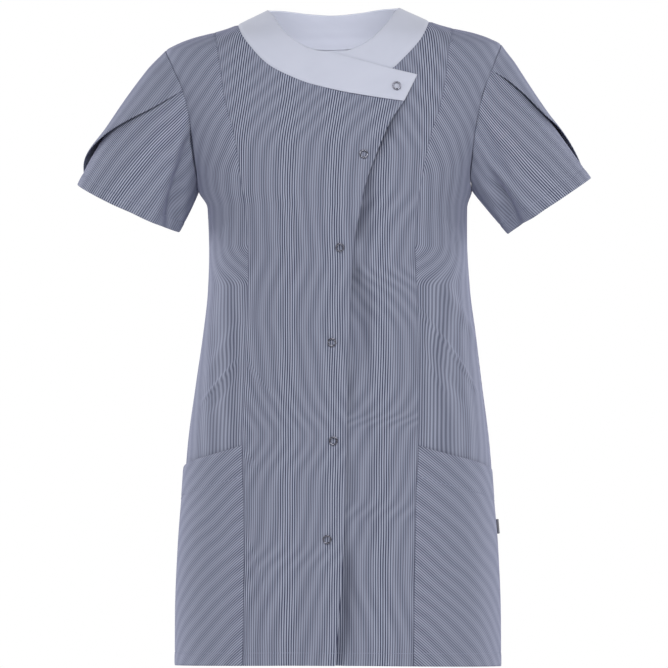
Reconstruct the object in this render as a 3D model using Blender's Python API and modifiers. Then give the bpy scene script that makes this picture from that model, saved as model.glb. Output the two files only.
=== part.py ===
"""A short-sleeved work tunic with an asymmetric snap front, filled out as when worn, and empty.

Every piece of cloth is cut from one figure-shaped surface. A place on the body is an angle round
it (0 is the centre front, 90 degrees the wearer's left side, 180 the centre back) and a height;
a place on a sleeve is an angle round the arm and a share of the sleeve's length. Each cut piece
is a sheet of such places, moved to the surface and given its wall by Solidify.

Frame: metres, +Z up, the front faces -Y and the wearer's left is +X. The origin is at the middle
of the neck, at the height where the wearer's shoulders carry the tunic.
"""

import math

import bmesh
import bpy
import numpy as np
from mathutils import Matrix, Vector

MM = 0.001

# ---------------------------------------------------------------- driving dimensions, millimetres
WALL = 1.2  # thickness of a cloth wall
SEAM_INSET = 0.2  # each piece stops this short of its seam line, so two walls are about 0.3 apart
RIDGE_INSET = 0.8  # more where two walls meet at an angle: shoulder seams and armholes
LAYER_GAP = 0.9  # between a piece and the piece that it lies on
HEM_Z = -739.0  # hem, below the shoulders
HEM_FRONT_RISE = 4.0  # the hem is this much higher at the centre front
HEM_RISE_FROM = -539.0  # the cloth above this is not lifted with it
MOUTH_Z_INNER = -481.0  # pocket mouth at the princess seam
MOUTH_Z_OUTER = -513.0  # pocket mouth at the side seam
UNDERARM_Z = -184.0
PRINCESS_BUST_Z = -190.0  # the princess seam's even rows start here
SHOULDER_TIP_Z = -15.0
SHOULDER_PRINCESS_Z = 5.5  # where the princess seam meets the shoulder seam
BAND_SHOULDER_Z = 14.0  # where the neckband's outer seam meets the shoulder seam
ARMHOLE_DEPTH_FRONT = 64.0  # how far the armhole reaches forward of the side line
ARMHOLE_DEPTH_BACK = 72.0
SLEEVE_HEM_Y = -6.0
SLEEVE_HEM_HALF_DEPTH = 51.0
SNAP_RING_RADIUS = 4.3
SNAP_WIRE_RADIUS = 0.75
SEAT_GAP = 0.65  # a snap ring stands this clear of the cloth, before the cloth's flat faces
POCKET_INSET = 1.2  # the pocket's sides stop this short of its seams
POCKET_SLACK = 2.0  # how far the pocket's mouth stands open
LABEL_Z = -578.0  # middle of the side label
LABEL_ANGLE = 91.0  # it starts just behind the side seam
LABEL_HEIGHT = 17.0
LABEL_REACH = 12.0
LABEL_WALL = 1.0
LABEL_GAP = 0.35
LABEL_FLARE = 1.2  # how much further out its far edge stands

# ---------------------------------------------------------------- how finely the sheets are divided
ROWS_HEM_TO_MOUTH = 6
ROWS_MOUTH_TO_UNDERARM = 9
ROWS_ARMHOLE = 10
FRONT_SHOULDER_ROWS = 2  # of a centre front, those that end at the shoulder seam
CORNER_COLUMNS = 4  # of the neckband's front, those where it rounds the shoulder
BAND_COLUMNS = 16  # of a centre front and of the neckband's front pieces
SIDE_COLUMNS = 9
BACK_SHOULDER_ROWS = 6
BACKBAND_COLUMNS = 20
BAND_ROWS = 4
PETAL_COLUMNS = 18
PETAL_ROWS = 11
FINE_STEPS = 300  # steps along a line before its places are spaced
RIDGE_ROWS = 3  # of the princess seam, those that round the shoulder
EASINGS = 2  # times that a sheet's inner places are spread more evenly
EASING_STEPS = 5  # steps of each, between two returns to the surface
BISECTIONS = 40  # halvings that find a place on the surface
RAY_Z = -150.0  # above this height the surface is met on rays from the body's middle

# ---------------------------------------------------------------- the figure, level by level
# z: height; wide: half width; front, back: depth before and behind the side line;
# box: how square the level is (2 is an ellipse); sway: how far it hangs to the wearer's left;
# turn: degrees that it is turned to the wearer's right
FIGURE_COLUMNS = ("z", "wide", "front", "back", "box", "sway", "turn")
FIGURE = (
    (-745.0, 190.0, 137.0, 143.0, 2.20, 6.2, 6.0),
    (-680.0, 189.5, 136.5, 144.0, 2.20, 6.2, 5.7),
    (-600.0, 186.0, 133.0, 142.0, 2.20, 6.2, 5.5),
    (-545.0, 181.5, 129.5, 137.5, 2.20, 6.0, 5.5),
    (-480.0, 176.5, 124.5, 128.5, 2.20, 6.0, 5.5),
    (-410.0, 167.5, 116.0, 113.0, 2.20, 6.3, 5.5),
    (-350.0, 159.5, 109.0, 101.0, 2.25, 7.0, 5.5),
    (-300.0, 153.5, 107.0, 96.0, 2.25, 6.5, 5.3),
    (-245.0, 151.0, 113.0, 98.0, 2.30, 5.5, 5.0),
    (-203.0, 151.8, 120.5, 101.5, 2.35, 4.6, 3.8),
    (-184.0, 160.0, 121.0, 105.0, 2.40, 2.2, 2.8),
    (-166.0, 164.0, 119.5, 107.0, 2.45, 1.6, 2.4),
    (-143.0, 173.0, 116.0, 109.0, 2.50, 1.2, 1.8),
    (-119.0, 183.0, 111.5, 109.5, 2.50, 1.0, 1.4),
    (-90.0, 193.5, 105.0, 107.0, 2.50, 0.6, 0.6),
    (-64.0, 200.0, 98.0, 102.0, 2.50, 0.4, 0.2),
    (-43.0, 201.5, 91.5, 96.0, 2.50, 0.2, 0.0),
    (-30.0, 200.0, 87.0, 92.0, 2.45, 0.0, 0.0),
    (-15.0, 196.0, 80.5, 86.0, 2.40, 0.0, 0.0),
    (-8.0, 184.0, 77.0, 82.0, 2.40, 0.0, 0.0),
    (-1.0, 165.0, 73.0, 78.0, 2.35, 0.0, 0.0),
    (5.5, 138.0, 68.5, 73.0, 2.30, 0.0, 0.0),
    (9.5, 124.0, 65.5, 70.0, 2.25, 0.0, 0.0),
    (14.0, 112.0, 61.5, 66.0, 2.20, 0.0, 0.0),
    (20.0, 99.0, 55.5, 60.0, 2.20, 0.0, 0.0),
    (25.0, 88.0, 49.5, 55.5, 2.20, 0.0, 0.0),
    (31.0, 75.5, 43.0, 51.0, 2.20, 0.0, 0.0),
)
# z, and how far the tunic hangs above (or below) it there: the cloth's own give
HANG = (
    (-745.0, -1.0), (-680.0, 0.0), (-592.0, 1.0), (-476.0, 0.0), (-361.0, -1.0), (-250.0, -1.2),
    (-142.0, -1.8), (-62.0, -3.0), (0.0, -2.2), (31.0, -1.8),
)
SHOULDER_TILT = 0.018  # how much the shoulders rise to the wearer's left, for each millimetre
TILT_START, TILT_FULL = -90.0, -20.0  # heights between which the tilt begins

# ---------------------------------------------------------------- seams and edges: rows of (x, z)
PRINCESS = (
    (100.0, -745.0), (99.5, -663.0), (100.5, -556.0), (103.0, -481.0), (102.0, -379.0),
    (100.0, -312.0), (98.0, -254.0), (101.0, -200.0), (105.5, -172.0), (109.0, -147.0),
    (117.5, -108.0), (124.0, -87.0), (128.5, -67.0), (132.5, -37.0), (136.0, -8.0), (138.0, 5.5),
)
FRONT_EDGE = (
    (10.0, -745.0), (15.0, -664.0), (19.0, -589.0), (20.5, -535.0), (21.5, -464.0),
    (21.0, -406.0), (23.0, -312.0), (25.0, -282.0), (28.5, -247.0), (32.0, -222.0),
    (36.5, -196.0), (42.0, -173.0), (49.0, -150.0), (58.0, -125.0), (68.0, -101.0), (82.0, -79.0),
)
UNDERLAP_EDGE = (
    (-24.0, -745.0), (-20.0, -592.0), (-14.0, -476.0), (-14.0, -361.0), (-8.0, -250.0),
    (0.0, -142.0), (-8.0, -64.0),
)
# The neckband's outer seam, from the shoulder seam to the band's end, and its free upper edge.
OVERBAND_SEAM = (
    (-112.0, 14.0), (-107.0, 2.0), (-98.5, -10.5), (-76.0, -34.5), (-55.8, -46.0),
    (-25.2, -58.5), (10.0, -67.5), (55.5, -75.3), (82.0, -79.0),
)
OVERBAND_TOP = (
    (-78.0, 30.4), (-71.5, 25.0), (-66.0, 16.0), (-60.0, 6.5), (-48.0, -5.0), (-31.0, -15.5),
    (-15.0, -20.8), (0.0, -22.2), (10.0, -25.7), (35.0, -32.3), (68.5, -42.0), (97.0, -49.0),
)
UNDERBAND_SEAM = (
    (-8.0, -64.0), (25.0, -58.5), (55.8, -46.5), (69.0, -40.5), (82.0, -29.0), (91.5, -19.5),
    (101.5, -7.6), (107.5, 3.0), (112.0, 14.0),
)
UNDERBAND_TOP = (
    (-8.0, -22.0), (13.0, -20.5), (29.0, -15.5), (45.0, -6.0), (58.0, 6.5), (66.0, 16.0),
    (71.5, 25.0), (78.0, 30.4),
)
BACKBAND_SEAM = (
    (112.0, 14.0), (102.0, 4.0), (76.0, -7.0), (40.0, -15.0), (0.0, -18.0),
    (-40.0, -15.0), (-76.0, -7.0), (-102.0, 4.0), (-112.0, 14.0),
)
BACKBAND_TOP = (
    (78.0, 30.4), (62.0, 30.2), (46.0, 28.6), (31.0, 26.6), (0.0, 24.4),
    (-31.0, 26.6), (-46.0, 28.6), (-62.0, 30.2), (-78.0, 30.4),
)
SNAPS = ((73.0, -62.0), (37.5, -142.0), (12.0, -250.0), (2.0, -361.0), (6.0, -476.0), (-0.5, -592.0))

# ---------------------------------------------------------------- soft folds of the body cloth
# angle, z: the fold's middle; wide: its half width; long: its half length; lean: degrees that its
# upper end leans to the wearer's left; out: how far it stands out (or in, below zero)
FOLD_COLUMNS = ("angle", "z", "wide", "long", "lean", "out")
FOLDS = (
    (-30.0, -610.0, 17.0, 150.0, 3.0, 3.0),
    (-52.0, -640.0, 17.0, 120.0, 0.0, -2.5),
    (-14.0, -650.0, 15.0, 130.0, 4.0, -3.0),
    (20.0, -560.0, 15.0, 190.0, -2.0, -4.0),
    (34.0, -620.0, 18.0, 160.0, 2.0, 3.0),
    (64.0, -640.0, 22.0, 110.0, 0.0, 3.0),
    (-72.0, -630.0, 22.0, 110.0, 0.0, 2.5),
    (18.0, -330.0, 14.0, 70.0, 0.0, -4.5),
    (27.0, -215.0, 16.0, 60.0, -8.0, -3.0),
    (-50.0, -330.0, 24.0, 45.0, 30.0, -2.0),
    (52.0, -340.0, 24.0, 45.0, -30.0, -2.0),
    (115.0, -620.0, 24.0, 140.0, 0.0, 4.0),
    (140.0, -640.0, 22.0, 130.0, 2.0, -4.0),
    (165.0, -620.0, 24.0, 150.0, 0.0, 4.0),
    (193.0, -640.0, 22.0, 130.0, 0.0, -4.0),
    (220.0, -620.0, 24.0, 150.0, -2.0, 4.0),
    (245.0, -640.0, 22.0, 120.0, 0.0, -3.0),
    (180.0, -330.0, 26.0, 60.0, 0.0, -3.0),
    (150.0, -300.0, 16.0, 70.0, 4.0, -3.5),
    (210.0, -300.0, 16.0, 70.0, -4.0, -3.5),
)
# How far the closing edge stands out between two snaps, from the top gap to the hem.
EDGE_LIFTS = (0.6, 2.6, 3.6, 2.4, 3.0, 3.6)
EDGE_LIFT_REACH = 26.0  # how far in from the edge the lift is felt
LAP_START = 26.0  # how far beside the hidden edge the front that laps over starts to rise
LAP_RISE = 22.0  # the width over which it rises
BODY_REACH = 150.0  # a mean radius of the body, which turns angles into widths for the folds
ARM_REACH = 55.0  # the same of a sleeve

# ---------------------------------------------------------------- sleeves
# side: -1 is the wearer's right; hem_x, hem_z: middle of the sleeve's hem; hem_half: half the hem's
# width as it hangs; hem_tilt: degrees that the hem rises outwards; hem_drop: how much lower it hangs
# before the arm than beside it; crown: how far the sleeve rounds out along its top
SLEEVE_COLUMNS = ("side", "hem_x", "hem_z", "hem_half", "hem_tilt", "hem_drop", "crown")
SLEEVES = (
    (-1, 239.8, -205.0, 65.9, 25.0, 5.0, 6.0),
    (1, 252.5, -202.4, 58.8, 33.9, 1.0, -2.0),
)
# The upper petal's free edge, by side: share of the sleeve's length, degrees round the arm from the
# top towards the front
PETAL_EDGES = {
    -1: ((0.0, 66.0), (0.3, 51.0), (0.6, 24.5), (0.81, 0.0), (0.9, -19.0), (1.0, -42.0)),
    1: ((0.0, 49.0), (0.25, 37.0), (0.5, 24.5), (0.68, 2.0), (1.0, -32.0)),
}
UNDER_PETAL_EDGE = ((0.0, -20.0), (1.0, -60.0))  # the lower petal's edge, hidden under the upper
PETAL_GAP = 1.8  # between the two petals where they lap
PETAL_RISE_START = 52.0  # degrees behind the hidden edge where the upper petal starts to rise over it
PETAL_RISE = 32.0  # degrees over which it rises
PETAL_FLARE = 1.6  # how far the upper petal's free edge stands off the lower one
PETAL_FLARE_REACH = 16.0  # degrees from the edge over which it flares
PETAL_FLARE_START = 0.3  # share of the sleeve's length by which it flares in full
SLEEVE_CROWN_SIDE = 5.0  # how far the sleeve rounds out before and behind the arm
SLEEVE_START = 0.01  # share of the sleeve's length between the armhole line and its edge
UNDERARM_COSINE = -0.7  # past this cosine, under the arm, the sleeve rounds out less
UNDERARM_SHARE = 0.3  # how much of that rounding is left there
# arm: degrees from the top, towards the front; share: of the sleeve's length; then as for the body
SLEEVE_FOLD_COLUMNS = ("side", "arm", "share", "wide", "long", "out")
SLEEVE_FOLDS = (
    (1, 128.0, 0.50, 13.0, 0.55, -5.0),
    (1, 98.0, 0.55, 13.0, 0.42, -4.0),
    (1, 112.0, 0.60, 10.0, 0.50, 2.5),
    (-1, 128.0, 0.45, 14.0, 0.50, -4.5),
    (-1, 95.0, 0.65, 16.0, 0.40, -2.5),
    (1, -120.0, 0.5, 15.0, 0.5, -4.0),
    (-1, -120.0, 0.5, 15.0, 0.5, -4.0),
)


# ---------------------------------------------------------------- smooth tables and lines
def monotone(at, values, where):
    """Values of a table's column at other places, rounded between its rows without overshoot."""
    at, values, where = (np.asarray(a, float) for a in (at, values, where))
    step = np.diff(at)
    slope = np.diff(values) / step
    tangent = np.zeros_like(values)
    same = slope[:-1] * slope[1:] > 0
    tangent[1:-1][same] = 2 * (slope[:-1] * slope[1:])[same] / (slope[:-1] + slope[1:])[same]
    tangent[0], tangent[-1] = slope[0], slope[-1]
    where = np.clip(where, at[0], at[-1])
    row = np.clip(np.searchsorted(at, where) - 1, 0, len(step) - 1)
    t = (where - at[row]) / step[row]
    rise = t * t * (3 - 2 * t)
    return (
        values[row] * (1 - rise)
        + values[row + 1] * rise
        + step[row] * tangent[row] * t * (1 - t) ** 2
        - step[row] * tangent[row + 1] * t * t * (1 - t)
    )


def level(z):
    """The figure's measures at heights z, by column name."""
    table = np.array(FIGURE)
    return {
        name: monotone(table[:, 0], table[:, i], z)
        for i, name in enumerate(FIGURE_COLUMNS)
        if i
    }


def distances(points):
    """How far along a line of points each one is."""
    steps = np.linalg.norm(np.diff(points, axis=0), axis=-1)
    return np.concatenate([[0], np.cumsum(steps)])


def x_at(rows, z):
    """A seam's x at heights z."""
    rows = np.array(rows)
    return monotone(rows[:, 1], rows[:, 0], z)


# ---------------------------------------------------------------- the body surface
def angle_at(x, z, back=False):
    """The angle round the body, in degrees, of the place that is x from the middle at height z."""
    figure = level(z)
    share = np.clip(np.abs(x) / figure["wide"], 0, 1)
    depth = figure["back" if back else "front"] * (1 - share ** figure["box"]) ** (1 / figure["box"])
    return np.degrees(np.arctan2(x, depth if not back else -depth))


def body_radius(angle, z):
    """The body's radius at an angle and height, before it sways and turns."""
    figure = level(z)
    a = np.radians(angle)
    depth = np.where(np.cos(a) > 0, figure["front"], figure["back"])
    power = figure["box"]
    reach = (np.abs(np.sin(a)) / figure["wide"]) ** power + (np.abs(np.cos(a)) / depth) ** power
    return reach ** (-1 / power)


def filled(places):
    """Points of the body at (angle, z), before it sways, turns and folds."""
    a, z = np.radians(places[..., 0]), places[..., 1]
    radius = body_radius(places[..., 0], z)
    return np.stack([radius * np.sin(a), -radius * np.cos(a), z], -1)


def outward(points, middle):
    """(angle, z) where the body's surface is, straight out from points near it.

    Out is level below RAY_Z and away from the body's middle at that height above it, so that it
    meets the shoulders squarely. Angles are within half a turn of middle.
    """
    x, y, z = np.moveaxis(points, -1, 0)
    angle = (np.degrees(np.arctan2(x, -y)) - middle + 180) % 360 - 180 + middle
    slope = np.clip(z - RAY_Z, 0, None) / np.hypot(x, y)
    low, high = np.minimum(z, RAY_Z), np.where(z > RAY_Z, FIGURE[-1][0], z)
    for _ in range(BISECTIONS):
        z = (low + high) / 2
        inside = z - RAY_Z < slope * body_radius(angle, z)
        low, high = np.where(inside, z, low), np.where(inside, high, z)
    return np.stack([angle, high], -1)


def folds_at(angle, z):
    """How far the body's soft folds move the cloth out."""
    out = np.zeros_like(angle)
    for row in FOLDS:
        fold = dict(zip(FOLD_COLUMNS, row))
        round_it = (angle - fold["angle"] + 180) % 360 - 180
        across = np.radians(round_it) * BODY_REACH
        up = z - fold["z"]
        lean = math.radians(fold["lean"])
        beside = across * math.cos(lean) - up * math.sin(lean)
        along = across * math.sin(lean) + up * math.cos(lean)
        out += fold["out"] * np.exp(-((beside / fold["wide"]) ** 2) - (along / fold["long"]) ** 2)
    return out


def on_body(angle, z, out=0.0, folded=True):
    """Points of the body surface, moved out by out, in millimetres."""
    angle, z = np.broadcast_arrays(np.asarray(angle, float), np.asarray(z, float))

    def bare(angle, z):
        figure = level(z)
        radius = body_radius(angle, z)
        turned = np.radians(angle - figure["turn"])
        low = np.clip((z - HEM_RISE_FROM) / (HEM_Z - HEM_RISE_FROM), 0, 1)
        rise = HEM_FRONT_RISE * np.clip(np.cos(np.radians(angle)), 0, 1) * low
        x = radius * np.sin(turned)
        tilt = SHOULDER_TILT * x * np.clip((z - TILT_START) / (TILT_FULL - TILT_START), 0, 1)
        hang = monotone(*zip(*HANG), z)
        return np.stack(
            [figure["sway"] + x, -radius * np.cos(turned), z + rise + hang + tilt], -1
        )

    place = bare(angle, z)
    round_it = bare(angle + 0.5, z) - bare(angle - 0.5, z)
    up = bare(angle, z + 1) - bare(angle, z - 1)
    normal = np.cross(round_it, up)
    normal /= np.linalg.norm(normal, axis=-1, keepdims=True)
    if folded:
        out = out + folds_at(angle, z)
    return place + normal * np.expand_dims(np.broadcast_to(out, z.shape), -1)


def closing_lift(places):
    """How far the front that laps over stands out: over the other front, and more between snaps."""
    z = places[..., 1]
    x = body_radius(places[..., 0], z) * np.sin(np.radians(places[..., 0]))
    under, edge = x_at(UNDERLAP_EDGE, z), x_at(FRONT_EDGE, z)
    rise = np.clip((x - under + LAP_START) / LAP_RISE, 0, 1)
    lap = (WALL + LAYER_GAP) * rise * rise * (3 - 2 * rise)
    heights = [row[1] for row in SNAPS] + [2 * HEM_Z - SNAPS[-1][1]]
    lift = np.zeros_like(z)
    for top, bottom, most in zip(heights, heights[1:], EDGE_LIFTS):
        share = np.clip((top - z) / (top - bottom), 0, 1)
        lift += most * np.sin(np.pi * share) ** 2
    near = np.exp(-((np.clip(edge - x, 0, None) / EDGE_LIFT_REACH) ** 2))
    return lap + lift * near


# ---------------------------------------------------------------- sheets of places
def blended(left, right, bottom, top):
    """A Coons patch: rows run from left to right, and the first row is the bottom."""
    rows, columns = len(left), len(bottom)
    u = np.linspace(0, 1, columns)[None, :, None]
    v = np.linspace(0, 1, rows)[:, None, None]
    left, right, bottom, top = left[:, None], right[:, None], bottom[None], top[None]
    bottom_shape = bottom - (1 - u) * bottom[:, :1] - u * bottom[:, -1:]
    top_shape = top - (1 - u) * top[:, :1] - u * top[:, -1:]
    return (1 - u) * left + u * right + (1 - v) * bottom_shape + v * top_shape


def inset(points, left=0.0, right=0.0, bottom=0.0, top=0.0):
    """The sheet with its edges drawn in, each by one distance or by one for each of its places."""
    points = points.copy()
    for edge, beside, by in (
        (np.s_[:, 0], np.s_[:, 1], left),
        (np.s_[:, -1], np.s_[:, -2], right),
        (np.s_[0], np.s_[1], bottom),
        (np.s_[-1], np.s_[-2], top),
    ):
        way = points[beside] - points[edge]
        by = np.broadcast_to(by, len(way))[:, None]
        points[edge] += by * way / np.linalg.norm(way, axis=-1, keepdims=True)
    return points


def side_insets(shoulder_rows=0):
    """Insets of a body piece's outer side: side seam first, then armhole and shoulder seam."""
    seam_rows = ROWS_HEM_TO_MOUTH + ROWS_MOUTH_TO_UNDERARM
    return np.array([SEAM_INSET] * seam_rows + [RIDGE_INSET] * (ROWS_ARMHOLE + 1 + shoulder_rows))


def armhole(side, arm):
    """(angle, z) of armhole places, by degrees round the arm from the shoulder tip to the front."""
    arm = np.asarray(arm, float)
    middle, half = (SHOULDER_TIP_Z + UNDERARM_Z) / 2, (SHOULDER_TIP_Z - UNDERARM_Z) / 2
    z = middle + half * np.cos(np.radians(arm))
    front = np.sin(np.radians(arm)) > 0
    depth = np.where(front, ARMHOLE_DEPTH_FRONT, ARMHOLE_DEPTH_BACK) * np.abs(np.sin(np.radians(arm)))
    figure = level(z)
    full = np.where(front, figure["front"], figure["back"])
    x = figure["wide"] * (1 - (depth / full) ** figure["box"]) ** (1 / figure["box"])
    angle = np.degrees(np.arctan2(x, np.where(front, depth, -depth)))
    return np.stack([side * angle, z], -1)


def stretch(start, end, steps):
    """steps + 1 even values, without the last one."""
    return np.linspace(start, end, steps + 1)[:-1]


def evenly(line, count):
    """count places spaced evenly over the body, along a line of many (angle, z)."""
    along = distances(filled(line))
    even = np.linspace(0, along[-1], count)
    return np.stack([np.interp(even, along, line[:, 0]), np.interp(even, along, line[:, 1])], 1)


def line_of(rows, count, back=False):
    """(angle, z) of places spaced evenly along the smooth line through rows of (x, z)."""
    rows = np.array(rows)
    along = distances(rows)
    fine = np.linspace(0, along[-1], FINE_STEPS)
    line = np.stack([monotone(along, rows[:, 0], fine), monotone(along, rows[:, 1], fine)], 1)
    return evenly(placed(line, back), count)


def seam_line(rows, levels):
    """(angle, z) of a front seam at levels."""
    return placed(np.stack([x_at(rows, levels), levels], 1))


def placed(line, back=False):
    """(angle, z) of places given as (x, z)."""
    angle = angle_at(line[..., 0], line[..., 1], back)
    if back:
        angle = angle % 360
    return np.stack([angle, line[..., 1]], -1)


def princess():
    """(angle, z) of the wearer's left princess seam, from the hem to the shoulder seam."""
    low = np.concatenate([
        stretch(HEM_Z, MOUTH_Z_INNER, ROWS_HEM_TO_MOUTH),
        stretch(MOUTH_Z_INNER, PRINCESS_BUST_Z, ROWS_MOUTH_TO_UNDERARM),
    ])
    high = np.linspace(PRINCESS_BUST_Z, SHOULDER_PRINCESS_Z, FINE_STEPS)
    return np.concatenate([seam_line(PRINCESS, low), evenly(seam_line(PRINCESS, high), ROWS_ARMHOLE + 1)])


def side_line(side, back=False):
    """(angle, z) down the side of a body piece: side seam, then armhole to the shoulder tip."""
    levels = np.concatenate([
        stretch(HEM_Z, MOUTH_Z_OUTER, ROWS_HEM_TO_MOUTH),
        stretch(MOUTH_Z_OUTER, UNDERARM_Z, ROWS_MOUTH_TO_UNDERARM),
    ])
    seam = np.stack([np.full(len(levels), 90.0 * side), levels], 1)
    arm = np.linspace(180.0, 0.0, ROWS_ARMHOLE + 1)
    arm_line = armhole(side, -arm if back else arm)
    arm_line[[0, -1], 0] = 90.0 * side
    return np.concatenate([seam, arm_line])


def shoulder_line(angle, start, rows):
    """(angle, z) along a shoulder seam up to the neckband, without its first place."""
    return np.stack([np.full(rows, angle), np.linspace(start, BAND_SHOULDER_Z, rows + 1)[1:]], 1)


def sheet(left, right, top, middle=0.0):
    """(angle, z) of a body piece between its sides, its top edge and the hem.

    The sheet is stretched between its edges in space and then let out to the surface. A side runs
    on up its shoulder seam, so the top is the neckband's seam, or a side front's shoulder seam.
    """
    hem = evenly(np.linspace(left[0], right[0], FINE_STEPS), len(top))
    edges = (filled(edge) for edge in (left, right, hem, top))
    places = outward(blended(*edges), middle)
    for _ in range(EASINGS):
        points = filled(places)
        for _ in range(EASING_STEPS):
            ease(points)
        places[1:-1, 1:-1] = outward(points, middle)[1:-1, 1:-1]
    return places


def ease(points):
    """Moves a sheet's inner points so that its cells come closer to squares, by Winslow's rule."""
    left, right = points[1:-1, :-2], points[1:-1, 2:]
    below, above = points[:-2, 1:-1], points[2:, 1:-1]
    across, up = right - left, above - below
    slant = (across * up).sum(-1, keepdims=True)
    across2, up2 = (across**2).sum(-1, keepdims=True), (up**2).sum(-1, keepdims=True)
    twist = points[2:, 2:] - points[2:, :-2] - points[:-2, 2:] + points[:-2, :-2]
    points[1:-1, 1:-1] = (
        up2 * (left + right) + across2 * (below + above) - slant * twist / 2
    ) / (2 * (up2 + across2))


# ---------------------------------------------------------------- making objects
def material(name, colour, roughness, metallic=0.0):
    made = bpy.data.materials.new(name)
    made.use_nodes = True
    shader = made.node_tree.nodes["Principled BSDF"]
    shader.inputs["Base Color"].default_value = (*colour, 1)
    shader.inputs["Roughness"].default_value = roughness
    shader.inputs["Metallic"].default_value = metallic
    made.diffuse_color = (*colour, 1)
    return made


def put_in(collection, made, finish):
    for held_by in list(made.users_collection):
        held_by.objects.unlink(made)
    collection.objects.link(made)
    made.data.materials.append(finish)


def cloth(name, points, finish, collection, wall=WALL):
    """A cloth piece: a grid moved to points (rows by columns, in millimetres), with its wall."""
    rows, columns = points.shape[0] - 1, points.shape[1] - 1
    grid = bmesh.new()
    bmesh.ops.create_grid(grid, x_segments=columns, y_segments=rows, size=0.5)
    for corner in grid.verts:
        row = round((corner.co.y + 0.5) * rows)
        column = round((corner.co.x + 0.5) * columns)
        corner.co = Vector(points[row, column] * MM)
    mesh = bpy.data.meshes.new(name)
    grid.to_mesh(mesh)
    grid.free()
    mesh.shade_smooth()
    made = bpy.data.objects.new(name, mesh)
    put_in(collection, made, finish)
    thick = made.modifiers.new("wall", "SOLIDIFY")
    thick.thickness = wall * MM
    thick.offset = -1.0
    return made


# ---------------------------------------------------------------- the body's pieces
def front_sheet(side, edge, band_seam):
    """(angle, z) of a centre front with its princess seam on the side given."""
    seam = princess() * (side, 1)
    heights = np.linspace(HEM_Z, edge[-1][1], FINE_STEPS)
    shoulder = shoulder_line(90.0 * side, SHOULDER_PRINCESS_Z, FRONT_SHOULDER_ROWS)
    outer = np.concatenate([seam, shoulder])
    closing = evenly(seam_line(edge, heights), len(outer))
    band = line_of(band_seam, BAND_COLUMNS + 1)
    return sheet(outer, closing, band) if side < 0 else sheet(closing, outer, band)


def band_insets():
    """Insets along a front band seam, from the shoulder on."""
    return np.array([RIDGE_INSET] * CORNER_COLUMNS + [SEAM_INSET] * (BAND_COLUMNS + 1 - CORNER_COLUMNS))


def princess_insets(shoulder_rows=0):
    """Insets along a princess seam, from the hem up, and then along the shoulder seam."""
    flat_rows = ROWS_HEM_TO_MOUTH + ROWS_MOUTH_TO_UNDERARM + ROWS_ARMHOLE - RIDGE_ROWS
    return np.array([SEAM_INSET] * flat_rows + [RIDGE_INSET] * (RIDGE_ROWS + 1 + shoulder_rows))


def front_over(striped, collection):
    """The wearer's right front, which laps over and closes at the slanting edge."""
    places = front_sheet(-1, FRONT_EDGE, OVERBAND_SEAM)
    points = on_body(places[..., 0], places[..., 1], closing_lift(places))
    points = inset(points, left=princess_insets(FRONT_SHOULDER_ROWS), top=band_insets())
    return cloth("front_right_over", points, striped, collection)


def front_under(striped, collection):
    """The wearer's left front, whose edge lies hidden under the other one."""
    places = front_sheet(1, UNDERLAP_EDGE, UNDERBAND_SEAM)
    points = on_body(places[..., 0], places[..., 1])
    points = inset(points, right=princess_insets(FRONT_SHOULDER_ROWS), top=band_insets()[::-1])
    return cloth("front_left_under", points, striped, collection)


def side_sheet(side):
    """(angle, z) of a side front, from princess seam to side seam and armhole."""
    heights = np.linspace(SHOULDER_PRINCESS_Z, SHOULDER_TIP_Z, SIDE_COLUMNS + 1)
    shoulder = np.stack([np.full(SIDE_COLUMNS + 1, 90.0), heights], 1)
    places = sheet(princess(), side_line(1), shoulder)
    return places if side > 0 else places[:, ::-1] * (-1, 1)


def side_front(name, side, striped, collection):
    """A side front piece, from princess seam to side seam and armhole."""
    places = side_sheet(side)
    points = on_body(places[..., 0], places[..., 1])
    inner, outer = princess_insets(), side_insets()
    left, right = (inner, outer) if side > 0 else (outer, inner)
    points = inset(points, left=left, right=right, top=RIDGE_INSET)
    return cloth(name, points, striped, collection)


def pocket(name, side, striped, collection):
    """A pocket over the whole lower side front, sewn in at both seams and the hem, open on top."""
    places = side_sheet(side)[: ROWS_HEM_TO_MOUTH + 1]
    up = np.linspace(0, 1, len(places))[:, None]
    across = np.linspace(0, 1, places.shape[1])[None]
    slack = POCKET_SLACK * np.sin(np.pi * across) * up**2
    points = on_body(places[..., 0], places[..., 1], WALL + LAYER_GAP + slack)
    points = inset(points, left=POCKET_INSET, right=POCKET_INSET)
    return cloth(name, points, striped, collection)


def back_piece(striped, collection):
    """The back, in one piece from side seam to side seam."""
    shoulder = shoulder_line(90.0, SHOULDER_TIP_Z, BACK_SHOULDER_ROWS)
    near = np.concatenate([side_line(1, back=True), shoulder])
    far = np.concatenate([side_line(-1, back=True) + (360, 0), shoulder + (180, 0)])
    places = sheet(near, far, line_of(BACKBAND_SEAM, BACKBAND_COLUMNS + 1, back=True), middle=180.0)
    points = on_body(places[..., 0], places[..., 1])
    sides = side_insets(BACK_SHOULDER_ROWS)
    along_top = np.full(BACKBAND_COLUMNS + 1, SEAM_INSET)
    along_top[:CORNER_COLUMNS] = along_top[-CORNER_COLUMNS:] = RIDGE_INSET
    return cloth("back", inset(points, left=sides, right=sides, top=along_top), striped, collection)


# ---------------------------------------------------------------- the neckband
def band_sheet(seam, top, columns, back=False):
    """(angle, z) of a neckband piece between its outer seam and its free upper edge."""
    low = line_of(seam, columns + 1, back)
    high = line_of(top, columns + 1, back)
    across = np.linspace(0, 1, BAND_ROWS + 1)[:, None, None]
    return low[None] * (1 - across) + high[None] * across


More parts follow.
